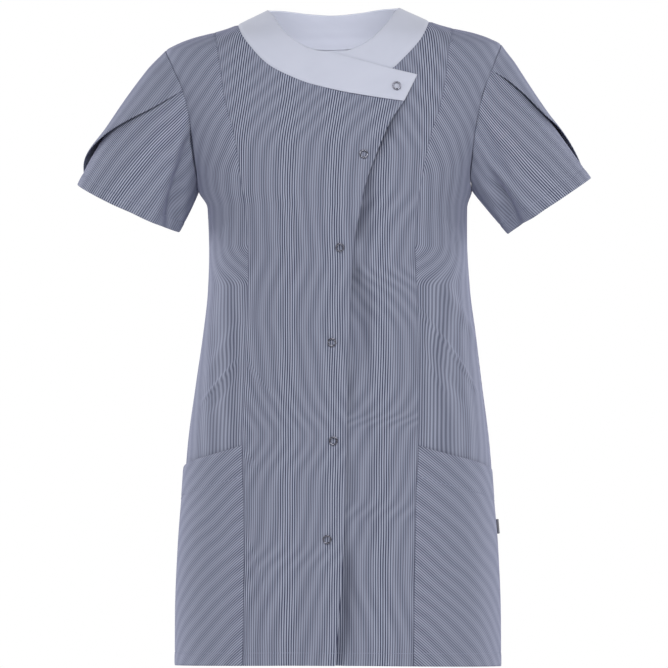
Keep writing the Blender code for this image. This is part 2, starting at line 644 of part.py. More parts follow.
def neckband(white, collection):
    """The flat band round the neck: a pointed front that laps over, one under it, and the back."""
    over = band_sheet(OVERBAND_SEAM, OVERBAND_TOP, BAND_COLUMNS)
    points = on_body(over[..., 0], over[..., 1], closing_lift(over), folded=False)
    points = inset(points, left=RIDGE_INSET, bottom=band_insets())
    cloth("neckband_right_over", points, white, collection)

    under = band_sheet(UNDERBAND_SEAM, UNDERBAND_TOP, BAND_COLUMNS)
    points = on_body(under[..., 0], under[..., 1], folded=False)
    points = inset(points, right=RIDGE_INSET, bottom=band_insets()[::-1])
    cloth("neckband_left_under", points, white, collection)

    back = band_sheet(BACKBAND_SEAM, BACKBAND_TOP, BACKBAND_COLUMNS, back=True)
    points = on_body(back[..., 0], back[..., 1], folded=False)
    points = inset(points, left=RIDGE_INSET, right=RIDGE_INSET, bottom=SEAM_INSET)
    cloth("neckband_back", points, white, collection)


# ---------------------------------------------------------------- sleeves
def sleeve_cut(side):
    """The sizes of one side's sleeve, by column name."""
    return next(dict(zip(SLEEVE_COLUMNS, row)) for row in SLEEVES if row[0] == side)


def on_sleeve(side, arm, share, out=0.0):
    """Points of a sleeve by degrees round the arm and share of its length, in millimetres."""
    arm, share = np.broadcast_arrays(np.asarray(arm, float), np.asarray(share, float))

    cut = sleeve_cut(side)
    tilt = math.radians(cut["hem_tilt"])

    def bare(arm, share):
        start = armhole(side, arm)
        top = np.abs((arm + 180) % 360 - 180)
        start[..., 0] = np.where((top < 1e-6) | (top > 180 - 1e-6), 90.0 * side, start[..., 0])
        start = on_body(start[..., 0], start[..., 1], folded=False)
        a = np.radians(arm)
        before = np.sin(a)
        wide = cut["hem_half"] * np.cos(a)
        end = np.stack([
            side * (cut["hem_x"] + wide * math.cos(tilt)),
            SLEEVE_HEM_Y - SLEEVE_HEM_HALF_DEPTH * before,
            cut["hem_z"] + wide * math.sin(tilt) - cut["hem_drop"] * np.clip(before, 0, 1),
        ], -1)
        rise = SLEEVE_CROWN_SIDE + (cut["crown"] - SLEEVE_CROWN_SIDE) * np.clip(np.cos(a), 0, 1)
        rise = rise * np.where(np.cos(a) > UNDERARM_COSINE, 1, UNDERARM_SHARE) * 4 * share * (1 - share)
        outward = np.stack([
            side * np.cos(a) * math.cos(tilt), -before, np.abs(np.cos(a)) * math.sin(tilt)
        ], -1)
        return start + (end - start) * share[..., None] + outward * rise[..., None]

    place = bare(arm, share)
    round_it = bare(arm + 1, share) - bare(arm - 1, share)
    down = bare(arm, share + 0.01) - bare(arm, share - 0.01)
    normal = np.cross(round_it, down) * side
    normal /= np.linalg.norm(normal, axis=-1, keepdims=True)
    for row in SLEEVE_FOLDS:
        fold = dict(zip(SLEEVE_FOLD_COLUMNS, row))
        if fold["side"] != side:
            continue
        across = np.radians((arm - fold["arm"] + 180) % 360 - 180) * ARM_REACH
        out = out + fold["out"] * np.exp(
            -((across / fold["wide"]) ** 2) - ((share - fold["share"]) / fold["long"]) ** 2
        )
    return place + normal * np.expand_dims(np.broadcast_to(out, arm.shape), -1)


def edge_at(rows, share):
    """Degrees round the arm of a petal's edge, at shares of the sleeve's length."""
    rows = np.array(rows)
    return monotone(rows[:, 0], rows[:, 1], share)


def sleeve(side, striped, collection):
    """A set-in sleeve of two petals, the upper one from the back lapping over the lower one."""
    where = "left" if side > 0 else "right"
    share = np.linspace(0, 1, PETAL_ROWS + 1)[:, None]
    across = np.linspace(0, 1, PETAL_COLUMNS + 1)[None]
    down = SLEEVE_START + (1 - SLEEVE_START) * share
    hidden = edge_at(UNDER_PETAL_EDGE, share)
    points = on_sleeve(side, hidden + (180.0 - hidden) * across, down)
    finish_petal(f"sleeve_{where}_front_petal", points, side, striped, collection)

    edge = edge_at(PETAL_EDGES[side], share)
    arm = -180.0 + (edge + 180.0) * across
    lapped = np.clip((arm - hidden + PETAL_RISE_START) / PETAL_RISE, 0, 1)
    near_edge = np.exp(-(((edge - arm) / PETAL_FLARE_REACH) ** 2))
    near_edge *= np.clip(share / PETAL_FLARE_START, 0, 1)
    out = (WALL + PETAL_GAP) * lapped**2 * (3 - 2 * lapped) + PETAL_FLARE * near_edge
    points = on_sleeve(side, arm, down, out)
    finish_petal(f"sleeve_{where}_back_petal", points, side, striped, collection)


def finish_petal(name, points, side, striped, collection):
    if side < 0:
        points = points[:, ::-1]
    cloth(name, inset(points, left=SEAM_INSET, right=SEAM_INSET), striped, collection)


# ---------------------------------------------------------------- snaps and the side label
def snap(name, x, z, metal, collection):
    """One prong ring, lying on the front that laps over."""
    place = placed(np.array([x, z]))
    on_band = z > FRONT_EDGE[-1][1]

    def point(turned=0.0, raised=0.0, out=0.0):
        lift = closing_lift(place) + out
        return on_body(place[0] + turned, place[1] + raised, lift, folded=not on_band)

    facing = Vector(np.cross(point(turned=1) - point(), point(raised=3) - point())).normalized()
    bpy.ops.mesh.primitive_torus_add(
        major_segments=18,
        minor_segments=6,
        major_radius=SNAP_RING_RADIUS * MM,
        minor_radius=SNAP_WIRE_RADIUS * MM,
    )
    ring = bpy.context.object
    ring.name = ring.data.name = name
    ring.location = Vector(point(out=SEAT_GAP + SNAP_WIRE_RADIUS) * MM)
    ring.rotation_mode = "QUATERNION"
    ring.rotation_quaternion = facing.to_track_quat("Z", "Y")
    ring.data.shade_smooth()
    put_in(collection, ring, metal)
    return ring


def side_label(navy, collection):
    """A plain folded tab sewn into the wearer's left side seam."""
    height = LABEL_Z + LABEL_HEIGHT * np.linspace(-0.5, 0.5, 3)[:, None]
    back = np.linspace(0, 1, 4)[None]
    angle = LABEL_ANGLE + np.degrees(LABEL_REACH / level(LABEL_Z)["wide"]) * back
    points = on_body(angle, height, LABEL_WALL + LABEL_GAP + LABEL_FLARE * back)
    return cloth("side_label", points, navy, collection, wall=LABEL_WALL)


def main():
    for old in list(bpy.data.objects):
        bpy.data.objects.remove(old)
    collection = bpy.data.collections.new("work_tunic")
    bpy.context.scene.collection.children.link(collection)
    striped = material("striped_cloth", (0.24, 0.26, 0.36), 0.85)
    white = material("white_cloth", (0.72, 0.74, 0.82), 0.8)
    metal = material("snap_metal", (0.6, 0.6, 0.62), 0.3, metallic=1.0)
    navy = material("label_cloth", (0.03, 0.03, 0.06), 0.8)
    front_over(striped, collection)
    front_under(striped, collection)
    side_front("side_front_right", -1, striped, collection)
    side_front("side_front_left", 1, striped, collection)
    back_piece(striped, collection)
    neckband(white, collection)
    for row in SLEEVES:
        sleeve(row[0], striped, collection)
    pocket("pocket_right", -1, striped, collection)
    pocket("pocket_left", 1, striped, collection)
    for number, (x, z) in enumerate(SNAPS, 1):
        snap(f"snap_{number}", x, z, metal, collection)
    side_label(navy, collection)


main()
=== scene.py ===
"""The looks of a short-sleeved work tunic: pinstriped poplin, a flat white neckband and ring snaps.

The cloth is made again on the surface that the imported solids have, finer and with its creases.
A place on the body is an angle round it (0 is the centre front, 90 degrees the wearer's left side)
and a height; a place on a sleeve is an angle round the arm and a share of the sleeve's length.
Tables are in millimetres and degrees. Blender's own units are metres; the front faces -Y.
"""

import math

import bpy
import numpy as np
from mathutils import Matrix, Vector


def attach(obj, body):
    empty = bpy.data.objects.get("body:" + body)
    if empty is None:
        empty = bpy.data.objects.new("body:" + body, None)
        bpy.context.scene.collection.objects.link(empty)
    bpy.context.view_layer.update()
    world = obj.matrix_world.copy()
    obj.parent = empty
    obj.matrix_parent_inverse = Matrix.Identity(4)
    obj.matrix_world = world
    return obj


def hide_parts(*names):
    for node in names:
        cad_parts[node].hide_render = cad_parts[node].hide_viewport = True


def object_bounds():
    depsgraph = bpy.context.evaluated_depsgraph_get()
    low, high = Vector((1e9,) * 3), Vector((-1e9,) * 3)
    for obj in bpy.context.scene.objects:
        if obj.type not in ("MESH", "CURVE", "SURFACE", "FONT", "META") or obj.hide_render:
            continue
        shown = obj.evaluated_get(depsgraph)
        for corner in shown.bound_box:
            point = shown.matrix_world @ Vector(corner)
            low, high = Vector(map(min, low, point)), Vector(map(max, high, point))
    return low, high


bl_info = {
    "name": "Work Tunic",
    "version": (1, 0, 0),
    "blender": (4, 5, 0),
    "location": "3D View > Sidebar > Tunic",
    "description": "A pinstriped work tunic with an asymmetric snap front and petal sleeves",
    "category": "Add Mesh",
}

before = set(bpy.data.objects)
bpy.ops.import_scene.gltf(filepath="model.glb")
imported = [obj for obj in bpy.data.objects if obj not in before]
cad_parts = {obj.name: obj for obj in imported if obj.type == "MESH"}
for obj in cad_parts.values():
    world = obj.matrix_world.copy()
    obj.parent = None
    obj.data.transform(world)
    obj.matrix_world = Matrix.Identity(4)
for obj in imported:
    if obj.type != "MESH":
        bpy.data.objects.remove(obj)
CAD_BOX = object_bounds()
MM = 0.001

# ---- the garment's sizes, millimetres
LAP_STEP = 2.1  # how far a layer lies over the one under it, as the solids have it
HEM_Z = -739.0
HEM_FRONT_RISE = 4.0
HEM_RISE_FROM = -539.0
MOUTH_Z_INNER = -481.0
MOUTH_Z_OUTER = -513.0
UNDERARM_Z = -184.0
PRINCESS_BUST_Z = -190.0
SHOULDER_TIP_Z = -15.0
SHOULDER_PRINCESS_Z = 5.5
BAND_SHOULDER_Z = 14.0
ARMHOLE_DEPTH_FRONT = 64.0
ARMHOLE_DEPTH_BACK = 72.0
SLEEVE_HEM_Y = -6.0
SLEEVE_HEM_HALF_DEPTH = 51.0
POCKET_SLACK = 2.0
POCKET_SEAM_REACH = 7.0  # over which a pocket rises from its seams
POCKET_SEAM_STEP = 0.6
LABEL_Z = -578.0
LABEL_ANGLE = 91.0
LABEL_HEIGHT = 17.0
LABEL_REACH = 12.0
LABEL_GAP = 1.3
LABEL_FLARE = 1.2
LABEL_STEP = 0.8
LABEL_WALL = 0.0009  # metres

# ---- rows and columns of the sheets
ROWS_HEM_TO_MOUTH = 6
ROWS_MOUTH_TO_UNDERARM = 9
ROWS_TO_UNDERARM = ROWS_HEM_TO_MOUTH + ROWS_MOUTH_TO_UNDERARM
ROWS_ARMHOLE = 10
ROWS_TO_SHOULDER = ROWS_TO_UNDERARM + ROWS_ARMHOLE
FRONT_SHOULDER_ROWS = 2
BACK_SHOULDER_ROWS = 6
BAND_COLUMNS = 16
SIDE_COLUMNS = 9
BACKBAND_COLUMNS = 20
BAND_ROWS = 4
PETAL_COLUMNS = 18
PETAL_ROWS = 11
FINE_STEPS = 300
EASINGS = 2
EASING_STEPS = 5
BISECTIONS = 34
GIRTH_LEVELS, GIRTH_ANGLES = 260, 361
ARM_ANGLES = 181
INSIDE = 1.001  # keeps a place in a table inside its last cell
JUST_LEFT_OF_BACK = 179.99  # degrees
TINY = 1e-6
RAY_Z = -150.0
NEAR_EDGE = (0.06, 0.14, 0.26)  # of a row or column, where extra ones follow a seam's dip
ROW_SPLITS = 8  # fine rows in each row that the solids have
COLUMN_SPLITS = 4
FRONT_SPLITS = (12, 6)  # rows and columns of the fronts, where the creases are sharper

# ---- the figure, level by level
FIGURE_COLUMNS = ("wide", "front", "back", "box", "sway", "turn")  # each after its height z
FIGURE = (
    (-745, 190, 137, 143, 2.2, 6.2, 6),
    (-680, 189.5, 136.5, 144, 2.2, 6.2, 5.7),
    (-600, 186, 133, 142, 2.2, 6.2, 5.5),
    (-545, 181.5, 129.5, 137.5, 2.2, 6, 5.5),
    (-480, 176.5, 124.5, 128.5, 2.2, 6, 5.5),
    (-410, 167.5, 116, 113, 2.2, 6.3, 5.5),
    (-350, 159.5, 109, 101, 2.25, 7, 5.5),
    (-300, 153.5, 107, 96, 2.25, 6.5, 5.3),
    (-245, 151, 113, 98, 2.3, 5.5, 5),
    (-203, 151.8, 120.5, 101.5, 2.35, 4.6, 3.8),
    (-184, 160, 121, 105, 2.4, 2.2, 2.8),
    (-166, 164, 119.5, 107, 2.45, 1.6, 2.4),
    (-143, 173, 116, 109, 2.5, 1.2, 1.8),
    (-119, 183, 111.5, 109.5, 2.5, 1, 1.4),
    (-90, 193.5, 105, 107, 2.5, 0.6, 0.6),
    (-64, 200, 98, 102, 2.5, 0.4, 0.2),
    (-43, 201.5, 91.5, 96, 2.5, 0.2, 0),
    (-30, 200, 87, 92, 2.45, 0, 0),
    (-15, 196, 80.5, 86, 2.4, 0, 0),
    (-8, 184, 77, 82, 2.4, 0, 0),
    (-1, 165, 73, 78, 2.35, 0, 0),
    (5.5, 138, 68.5, 73, 2.3, 0, 0),
    (9.5, 124, 65.5, 70, 2.25, 0, 0),
    (14, 112, 61.5, 66, 2.2, 0, 0),
    (20, 99, 55.5, 60, 2.2, 0, 0),
    (25, 88, 49.5, 55.5, 2.2, 0, 0),
    (31, 75.5, 43, 51, 2.2, 0, 0),
)
HANG = (
    (-745, -1), (-680, 0), (-592, 1), (-476, 0), (-361, -1), (-250, -1.2), (-142, -1.8), (-62, -3),
    (0, -2.2), (31, -1.8),
)
SHOULDER_TILT = 0.018
TILT_START, TILT_FULL = -90.0, -20.0

# ---- seams and edges: rows of (x, z)
PRINCESS = (
    (100, -745), (99.5, -663), (100.5, -556), (103, -481), (102, -379), (100, -312), (98, -254),
    (101, -200), (105.5, -172), (109, -147), (117.5, -108), (124, -87), (128.5, -67), (132.5, -37),
    (136, -8), (138, 5.5),
)
FRONT_EDGE = (
    (10, -745), (15, -664), (19, -589), (20.5, -535), (21.5, -464), (21, -406), (23, -312), (25, -282),
    (28.5, -247), (32, -222), (36.5, -196), (42, -173), (49, -150), (58, -125), (68, -101), (82, -79),
)
UNDERLAP_EDGE = (
    (-24, -745), (-20, -592), (-14, -476), (-14, -361), (-8, -250), (0, -142), (-8, -64),
)
OVERBAND_SEAM = (
    (-112, 14), (-107, 2), (-98.5, -10.5), (-76, -34.5), (-55.8, -46), (-25.2, -58.5), (10, -67.5),
    (55.5, -75.3), (82, -79),
)
OVERBAND_TOP = (
    (-78, 30.4), (-71.5, 25), (-66, 16), (-60, 6.5), (-48, -5), (-31, -15.5), (-15, -20.8), (0, -22.2),
    (10, -25.7), (35, -32.3), (68.5, -42), (97, -49),
)
UNDERBAND_SEAM = (
    (-8, -64), (25, -58.5), (55.8, -46.5), (69, -40.5), (82, -29), (91.5, -19.5), (101.5, -7.6), (107.5, 3),
    (112, 14),
)
UNDERBAND_TOP = (
    (-8, -22), (13, -20.5), (29, -15.5), (45, -6), (58, 6.5), (66, 16), (71.5, 25), (78, 30.4),
)
BACKBAND_SEAM = (
    (112, 14), (102, 4), (76, -7), (40, -15), (0, -18), (-40, -15), (-76, -7), (-102, 4), (-112, 14),
)
BACKBAND_TOP = (
    (78, 30.4), (62, 30.2), (46, 28.6), (31, 26.6), (0, 24.4), (-31, 26.6), (-46, 28.6), (-62, 30.2),
    (-78, 30.4),
)
SNAPS = ((73, -62), (37.5, -142), (12, -250), (2, -361), (6, -476), (-0.5, -592))

# ---- soft folds, as the solids have them
# Each: angle and z of its middle, half width, half length, lean in degrees, how far out
FOLDS = (
    (-30, -610, 17, 150, 3, 3),
    (-52, -640, 17, 120, 0, -2.5),
    (-14, -650, 15, 130, 4, -3),
    (20, -560, 15, 190, -2, -4),
    (34, -620, 18, 160, 2, 3),
    (64, -640, 22, 110, 0, 3),
    (-72, -630, 22, 110, 0, 2.5),
    (18, -330, 14, 70, 0, -4.5),
    (27, -215, 16, 60, -8, -3),
    (-50, -330, 24, 45, 30, -2),
    (52, -340, 24, 45, -30, -2),
    (115, -620, 24, 140, 0, 4),
    (140, -640, 22, 130, 2, -4),
    (165, -620, 24, 150, 0, 4),
    (193, -640, 22, 130, 0, -4),
    (220, -620, 24, 150, -2, 4),
    (245, -640, 22, 120, 0, -3),
    (180, -330, 26, 60, 0, -3),
    (150, -300, 16, 70, 4, -3.5),
    (210, -300, 16, 70, -4, -3.5),
)
EDGE_LIFTS = (0.6, 3.4, 4.4, 3.2, 3.8, 4.4)
EDGE_LIFT_REACH = 26.0
# How far the front beneath goes in beside that edge, by height
EDGE_DIPS = (
    (-745, 9), (-700, 13), (-650, 12), (-600, 6), (-570, 2), (-500, 4), (-476, 1.5), (-430, 5), (-361, 1.5),
    (-320, 8), (-290, 9), (-255, 2.5), (-235, 11), (-215, 13), (-190, 9), (-150, 5), (-110, 8), (-90, 4),
    (-60, 0), (31, 0),
)
EDGE_DIP_REACH = 9.0
LAP_START = 26.0
LAP_RISE = 22.0
BODY_REACH = 150.0
ARM_REACH = 55.0

# Creases of the body cloth, each along a bowed line between two places: x0, z0 to x1, z1 as seen
# from the front (or from behind, where behind is 1), bow: how far its middle stands to the left
# of the way from the first place to the second, wide: half width, out: its height (below zero, a
# trough). A crease of power 2 is rounded, and one of 4 has a flat top and two edges.
# In order: behind, x0, z0, x1, z1, bow, wide, out, power.
CREASE_TAPER = 0.7
CREASES = (
    (0, -109, -338, -150, -400, 2, 9, 2.6, 2),
    (0, -108.5, -378, -157, -434, 3, 2.8, 2.3, 4),
    (0, -108, -388, -148, -444, 3, 6, -2, 2),
    (0, -99, -380, -63, -427, -3, 2.8, 2.1, 4),
    (0, -101, -392, -72, -438, -4, 6, -1.8, 2),
    (0, 112, -274, 168, -374, -4, 9, 2.8, 2),
    (0, 94, -312, 167, -426, -3, 3, 2.4, 4),
    (0, 101, -334, 158, -440, -5, 6.5, -2.2, 2),
    (0, 106, -366, 138, -426, -4, 3.2, 1.4, 2),
    (0, -102, -488, -79, -518, 2, 3, 1.7, 4),
    (0, -101, -586, -72, -716, 12, 3, 2.3, 4),
    (0, -99, -606, -84, -706, 9, 6.5, -1.9, 2),
    (0, -60, -640, -52, -738, 3, 8, 1.5, 2),
    (0, 38, -286, 28, -394, 3, 10, -7.5, 2),
    (0, 29, -432, 44, -486, 4, 9, -4.5, 2),
    (0, 28, -540, 47, -594, 4, 9, -4.5, 2),
    (0, 22, -606, 24, -738, 2, 12, -8, 2),
    (0, 46, -430, 84, -462, 3, 9, 1.4, 2),
    (0, 50, -640, 58, -738, 2, 10, 1.8, 2),
    (0, 45, -166, 34, -276, 3, 10, -7.5, 2),
    (0, -84, -230, -40, -262, 4, 10, 1.1, 2),
    (0, 150, -205, 128, -262, 4, 8, -1.8, 2),
    (0, -150, -205, -130, -258, -4, 8, -1.8, 2),
    (0, 118, -206, 146, -236, -3, 5, 1.2, 2),
    (0, -116, -214, -144, -246, 3, 5, 1.1, 2),
    (0, 120, -560, 160, -600, 4, 9, 1.2, 2),
    (0, -120, -545, -165, -585, -4, 9, 1.1, 2),
    (1, 118, -318, 52, -366, 6, 4.2, 2, 2),
    (1, 118, -332, 60, -384, 6, 6.5, -1.9, 2),
    (1, -116, -306, -44, -352, -6, 4.2, 1.8, 2),
    (1, -118, -322, -56, -370, -6, 6.5, -1.8, 2),
    (1, 108, -384, 66, -446, 5, 4, 1.4, 2),
    (1, -104, -376, -70, -438, -5, 4, 1.3, 2),
    (1, 84, -560, 72, -732, 6, 7, 2.1, 2),
    (1, -76, -572, -86, -736, -6, 7, 2, 2),
    (1, 12, -590, 20, -736, 4, 8, -2.2, 2),
    (1, 150, -150, 96, -214, 8, 7, -2, 2),
    (1, -150, -146, -98, -206, -8, 7, -1.9, 2),
    (1, 138, -186, 100, -236, 6, 5, 1.3, 2),
    (1, 60, -60, -50, -66, 8, 10, -1.3, 2),
)

# ---- sleeves
SIDES = ((-1, "right"), (1, "left"))  # the wearer's
# By side: the hem's x and z, half width, tilt in degrees and drop in front, and the crown's rise
SLEEVES = {-1: (239.8, -205, 65.9, 25, 5, 6), 1: (252.5, -202.4, 58.8, 33.9, 1, -2)}
PETAL_EDGES = {
    -1: ((0, 66), (0.3, 51), (0.6, 24.5), (0.81, 0), (0.9, -19), (1, -42)),
    1: ((0, 49), (0.25, 37), (0.5, 24.5), (0.68, 2), (1, -32)),
}
UNDER_PETAL_EDGE = ((0, -20), (1, -60))
PETAL_STEP = 3.0
PETAL_RISE_START = 52.0
PETAL_RISE = 32.0
PETAL_FLARE = 1.6
PETAL_FLARE_REACH = 16.0
PETAL_FLARE_START = 0.3
PETAL_GAPE = {-1: 2.6, 1: 0.6}  # how much further a petal's edge stands off where its gap is widest
PETAL_GAPE_SHARE = 0.78
PETAL_GAPE_REACH = 0.2
PETAL_SEAM_STEP = 0.25  # of the step, where the petals are sewn in one on the other
PETAL_SEAM_REACH = 0.16
PETAL_TUCK = 0.4  # of the step, how far the front petal gives way at that seam
PETAL_TUCK_REACH = 8.0
PETAL_INSIDE = 100.0  # degrees beyond which the stripes hardly show
PETAL_INSIDE_REACH = 25.0
SLEEVE_GRAIN = 0.21  # how far a front petal's stripes lean out, for each length down it
SLEEVE_CROWN_SIDE = 5.0
UNDERARM_COSINE = -0.7
UNDERARM_SHARE = 0.3
UNDERARM_REACH = 0.3  # of the cosine, over which the crown's rise falls to that share
# Each: side, degrees round the arm and share of its middle, half width, half length, how far out
SLEEVE_FOLDS = (
    (1, 128, 0.5, 13, 0.55, -5),
    (1, 98, 0.55, 13, 0.42, -4),
    (1, 112, 0.6, 10, 0.5, 2.5),
    (-1, 128, 0.45, 14, 0.5, -4.5),
    (-1, 95, 0.65, 16, 0.4, -2.5),
    (1, -120, 0.5, 15, 0.5, -4),
    (-1, -120, 0.5, 15, 0.5, -4),
)
# Creases: side, degrees and share of the start and of the end, half width, how far out
SLEEVE_CREASES = (
    (1, 86, -0.25, 116, 0.9, 8, -7.5),
    (1, 104, -0.1, 166, 1.5, 12, -13),
    (1, 60, 0.45, 74, 1.05, 8, 1.2),
    (-1, 84, 0, 112, 0.5, 8, 2.4),
    (-1, 98, -0.3, 126, 0.7, 9, -6),
    (-1, 108, -0.1, 164, 1.4, 14, -13),
    (-1, 80, 0.1, 98, 1.4, 13, -4.5),
    (1, -98, 0, -130, 0.62, 8, -3.5),
    (1, -62, 0.2, -84, 0.92, 9, 1.9),
    (-1, -94, 0.02, -128, 0.66, 8, -3.5),
    (-1, -68, 0.16, -86, 0.86, 9, 1.8),
)
SLEEVE_LENGTH = 130.0  # about, to measure across its creases

# ---- sewing
SEAM_DIP = 0.9  # how far the cloth goes in at a seam
ARMHOLE_DIP = 0.25
SEAM_REACH = 2.2
EDGE_ROLL = 0.35  # how far a folded free edge rounds in
EDGE_ROLL_REACH = 1.2
HEM_DEPTH = 15.0  # from the hem to its stitches
MOUTH_DEPTH = 36.0  # from the pocket's mouth to the stitches of its facing
SLEEVE_HEM_DEPTH = 14.0
FACING_RISE = 0.3  # a turned hem is this much thicker
FACING_EDGE = 2.0  # over which it rises
STITCH_DENT = 0.35
STITCH_DENT_REACH = 1.6
STITCH_STAND = 0.12  # how far the thread stands over the cloth
SNAP_DENT = 0.7
SNAP_DENT_REACH = 8.0
RING_STEPS, RING_SECTION = 60, 14
PRONGS = 5
PRONG_REACH = 0.16  # of the way from one prong to the next
PRONG_BULGE = 0.12
PRONG_DENT = 0.25

# ---- stripes
# How a side front's grain leans: height, and how far its stripes have moved to the middle there,
# all of it at the princess seam and GRAIN_LEAST of it GRAIN_REACH away
GRAIN_SHIFT = (
    (-745, 45), (-296, 45), (-245, 0), (-170, 0), (-130, 18), (-60, 66), (0, 92), (31, 104),
)
SIDE_GRAIN_TOP = -64.0  # over this height a side front's stripes keep to their angles
GRAIN_REACH = 50.0
GRAIN_LEAST = 0.3
OVER_GRAIN = ((-745, 0), (-140, 0), (-60, 9), (31, 22))
UNDER_GRAIN = ((-745, 0), (-140, 0), (-60, 5), (31, 11))
POCKET_GRAIN = 50.0  # degrees that a pocket's stripes lean
POCKET_FINENESS = 1.17
CLEAR_PITCH = 54.5  # the stripes are clearest in upright zones this far apart
CLEAR_START = -53.0
CLEAR_HALF = 10.0
SIDE_CLEAR = (0.12, 0.3, 25.0)  # least, how much more beside the princess seam, and how far
POCKET_CLEAR = (0.15, 0.25, 40.0)
STRIPE_WANDER, BAND_WANDER = 0.004, 2.2  # metres, and bands
# How far the light and dark bands of the stripes stand to the side, by height
OVER_BANDS = (
    (-745, -58), (-690, -52), (-632, -35), (-591, -6), (-545, 0), (-516, 6), (-469, 29), (-440, 12),
    (-405, -6), (-371, -14), (-342, -17), (-313, -14), (-255, 0), (-197, -6), (-139, 0), (-81, 31),
    (-52, 52), (31, 110),
)
UNDER_BANDS = (
    (-745, -35), (-690, -41), (-632, -52), (-574, -41), (-545, -17), (-463, 0), (-440, 35), (-394, 52),
    (-347, 46), (-307, 23), (-266, -17), (-243, -14), (-214, -6), (-179, 14), (-144, 17), (-110, 0),
    (31, -60),
)

# ---- camera and stage, metres
CAMERA_PLACE = (0.0006, -12.0, -0.352)
CAMERA_LENS = 552.7  # millimetres, for a sensor of 36
FLOOR_DROP = 0.76  # the floor lies this far under the hem, as where the tunic is worn
FLOOR_SIZE = 40.0
AMBIENT = 0.25  # of the white that the camera sees round the tunic
TUNIC_MIDDLE = (0.0, 0.0, CAMERA_PLACE[2])
# Each: name, place, size, watts, where it faces
LAMPS = (
    ("key", (0.1, -3.6, 2.3), 1.8, 90.0, TUNIC_MIDDLE),
    ("fill_left", (-3.3, -3.0, 0.4), 1.6, 22.5, TUNIC_MIDDLE),
    ("fill_right", (3.3, -2.8, 0.4), 1.6, 28.5, TUNIC_MIDDLE),
    ("rim_left", (-2.6, 1.6, 0.3), 2.0, 68.0, TUNIC_MIDDLE),
    ("rim_right", (2.6, 1.6, 0.3), 2.0, 62.0, TUNIC_MIDDLE),
    ("neck_light", (0.0, -0.045, -0.06), 0.1, 0.13, (0.0, 0.07, 0.01)),
)


# ==== smooth tables and lines
def bell(*ways):
    """A rounded rise: 1 where every way off is 0, and hardly any two away."""
    return np.exp(-sum(way**2 for way in ways))


def step_up(t):
    """A smooth step from 0 to 1."""
    t = np.clip(t, 0, 1)
    return t * t * (3 - 2 * t)


def wrapped(value, around=360.0):
    """A value on a circle, as the one nearest to 0 that stands for the same place."""
    return (value + around / 2) % around - around / 2


def monotone(at, values, where):
    """Values of a table's column at other places, rounded between its rows without overshoot."""
    at, values, where = (np.asarray(a, float) for a in (at, values, where))
    step = np.diff(at)
    slope = np.diff(values) / step
    tangent = np.zeros_like(values)
    same = slope[:-1] * slope[1:] > 0
    tangent[1:-1][same] = 2 * (slope[:-1] * slope[1:])[same] / (slope[:-1] + slope[1:])[same]
    tangent[0], tangent[-1] = slope[0], slope[-1]
    where = np.clip(where, at[0], at[-1])
    row = np.clip(np.searchsorted(at, where) - 1, 0, len(step) - 1)
    t = (where - at[row]) / step[row]
    rise = t * t * (3 - 2 * t)
    return (
        values[row] * (1 - rise)
        + values[row + 1] * rise
        + step[row] * tangent[row] * t * (1 - t) ** 2
        - step[row] * tangent[row + 1] * t * t * (1 - t)
    )


def table_at(table, where):
    """A table's second column at places in its first."""
    return monotone(*zip(*table), where)


def x_at(rows, z):
    """A seam's x at heights z."""
    return table_at([row[::-1] for row in rows], z)


def level(z):
    """The figure's measures at heights z, by column name."""
    heights, *columns = zip(*FIGURE)
    return {name: monotone(heights, column, z) for name, column in zip(FIGURE_COLUMNS, columns)}


def distances(points):
    """How far along a line of points each one is."""
    steps = np.linalg.norm(np.diff(points, axis=0), axis=-1)
    return np.concatenate([np.zeros((1, *steps.shape[1:])), np.cumsum(steps, axis=0)])


def across_rows(points):
    """How far along its own row each point of a grid is."""
    return np.swapaxes(distances(np.swapaxes(points, 0, 1)), 0, 1)


def rounded(grid, at):
    """A grid's values at fractional rows, by a Catmull-Rom spline through its rows."""
    padded = np.concatenate([[2 * grid[0] - grid[1]], grid, [2 * grid[-1] - grid[-2]]])
    row = np.clip(np.floor(at).astype(int), 0, len(grid) - 2)
    t = (at - row).reshape(-1, *[1] * (grid.ndim - 1))
    a, b, c, d = (padded[row + k] for k in range(4))
    return 0.5 * (
        2 * b + (c - a) * t + (2 * a - 5 * b + 4 * c - d) * t**2 + (3 * b - a - 3 * c + d) * t**3
    )


def split(count, parts):
    """Fractional rows of a finer grid, with extra ones near both ends."""
    near = np.array(NEAR_EDGE)
    return np.unique(np.concatenate([np.linspace(0, count, count * parts + 1), near, count - near]))


# ==== the body surface
def superellipse(share, power):
    """How much of one half axis is left at a share of the other."""
    return (1 - share**power) ** (1 / power)


def angle_at(x, z, back=False):
    """The angle round the body, in degrees, of the place that is x from the middle at height z."""
    figure = level(z)
    share = np.clip(np.abs(x) / figure["wide"], 0, 1)
    depth = figure["back" if back else "front"] * superellipse(share, figure["box"])
    return np.degrees(np.arctan2(x, -depth if back else depth))


def body_radius(angle, z):
    """The body's radius at an angle and height, before it sways and turns."""
    figure, a = level(z), np.radians(angle)
    depth = np.where(np.cos(a) > 0, figure["front"], figure["back"])
    power = figure["box"]
    reach = (np.abs(np.sin(a)) / figure["wide"]) ** power + (np.abs(np.cos(a)) / depth) ** power
    return reach ** (-1 / power)


def filled(places):
    """Points of the body at (angle, z), before it sways, turns and folds."""
    a, z = np.radians(places[..., 0]), places[..., 1]
    radius = body_radius(places[..., 0], z)
    return np.stack([radius * np.sin(a), -radius * np.cos(a), z], -1)


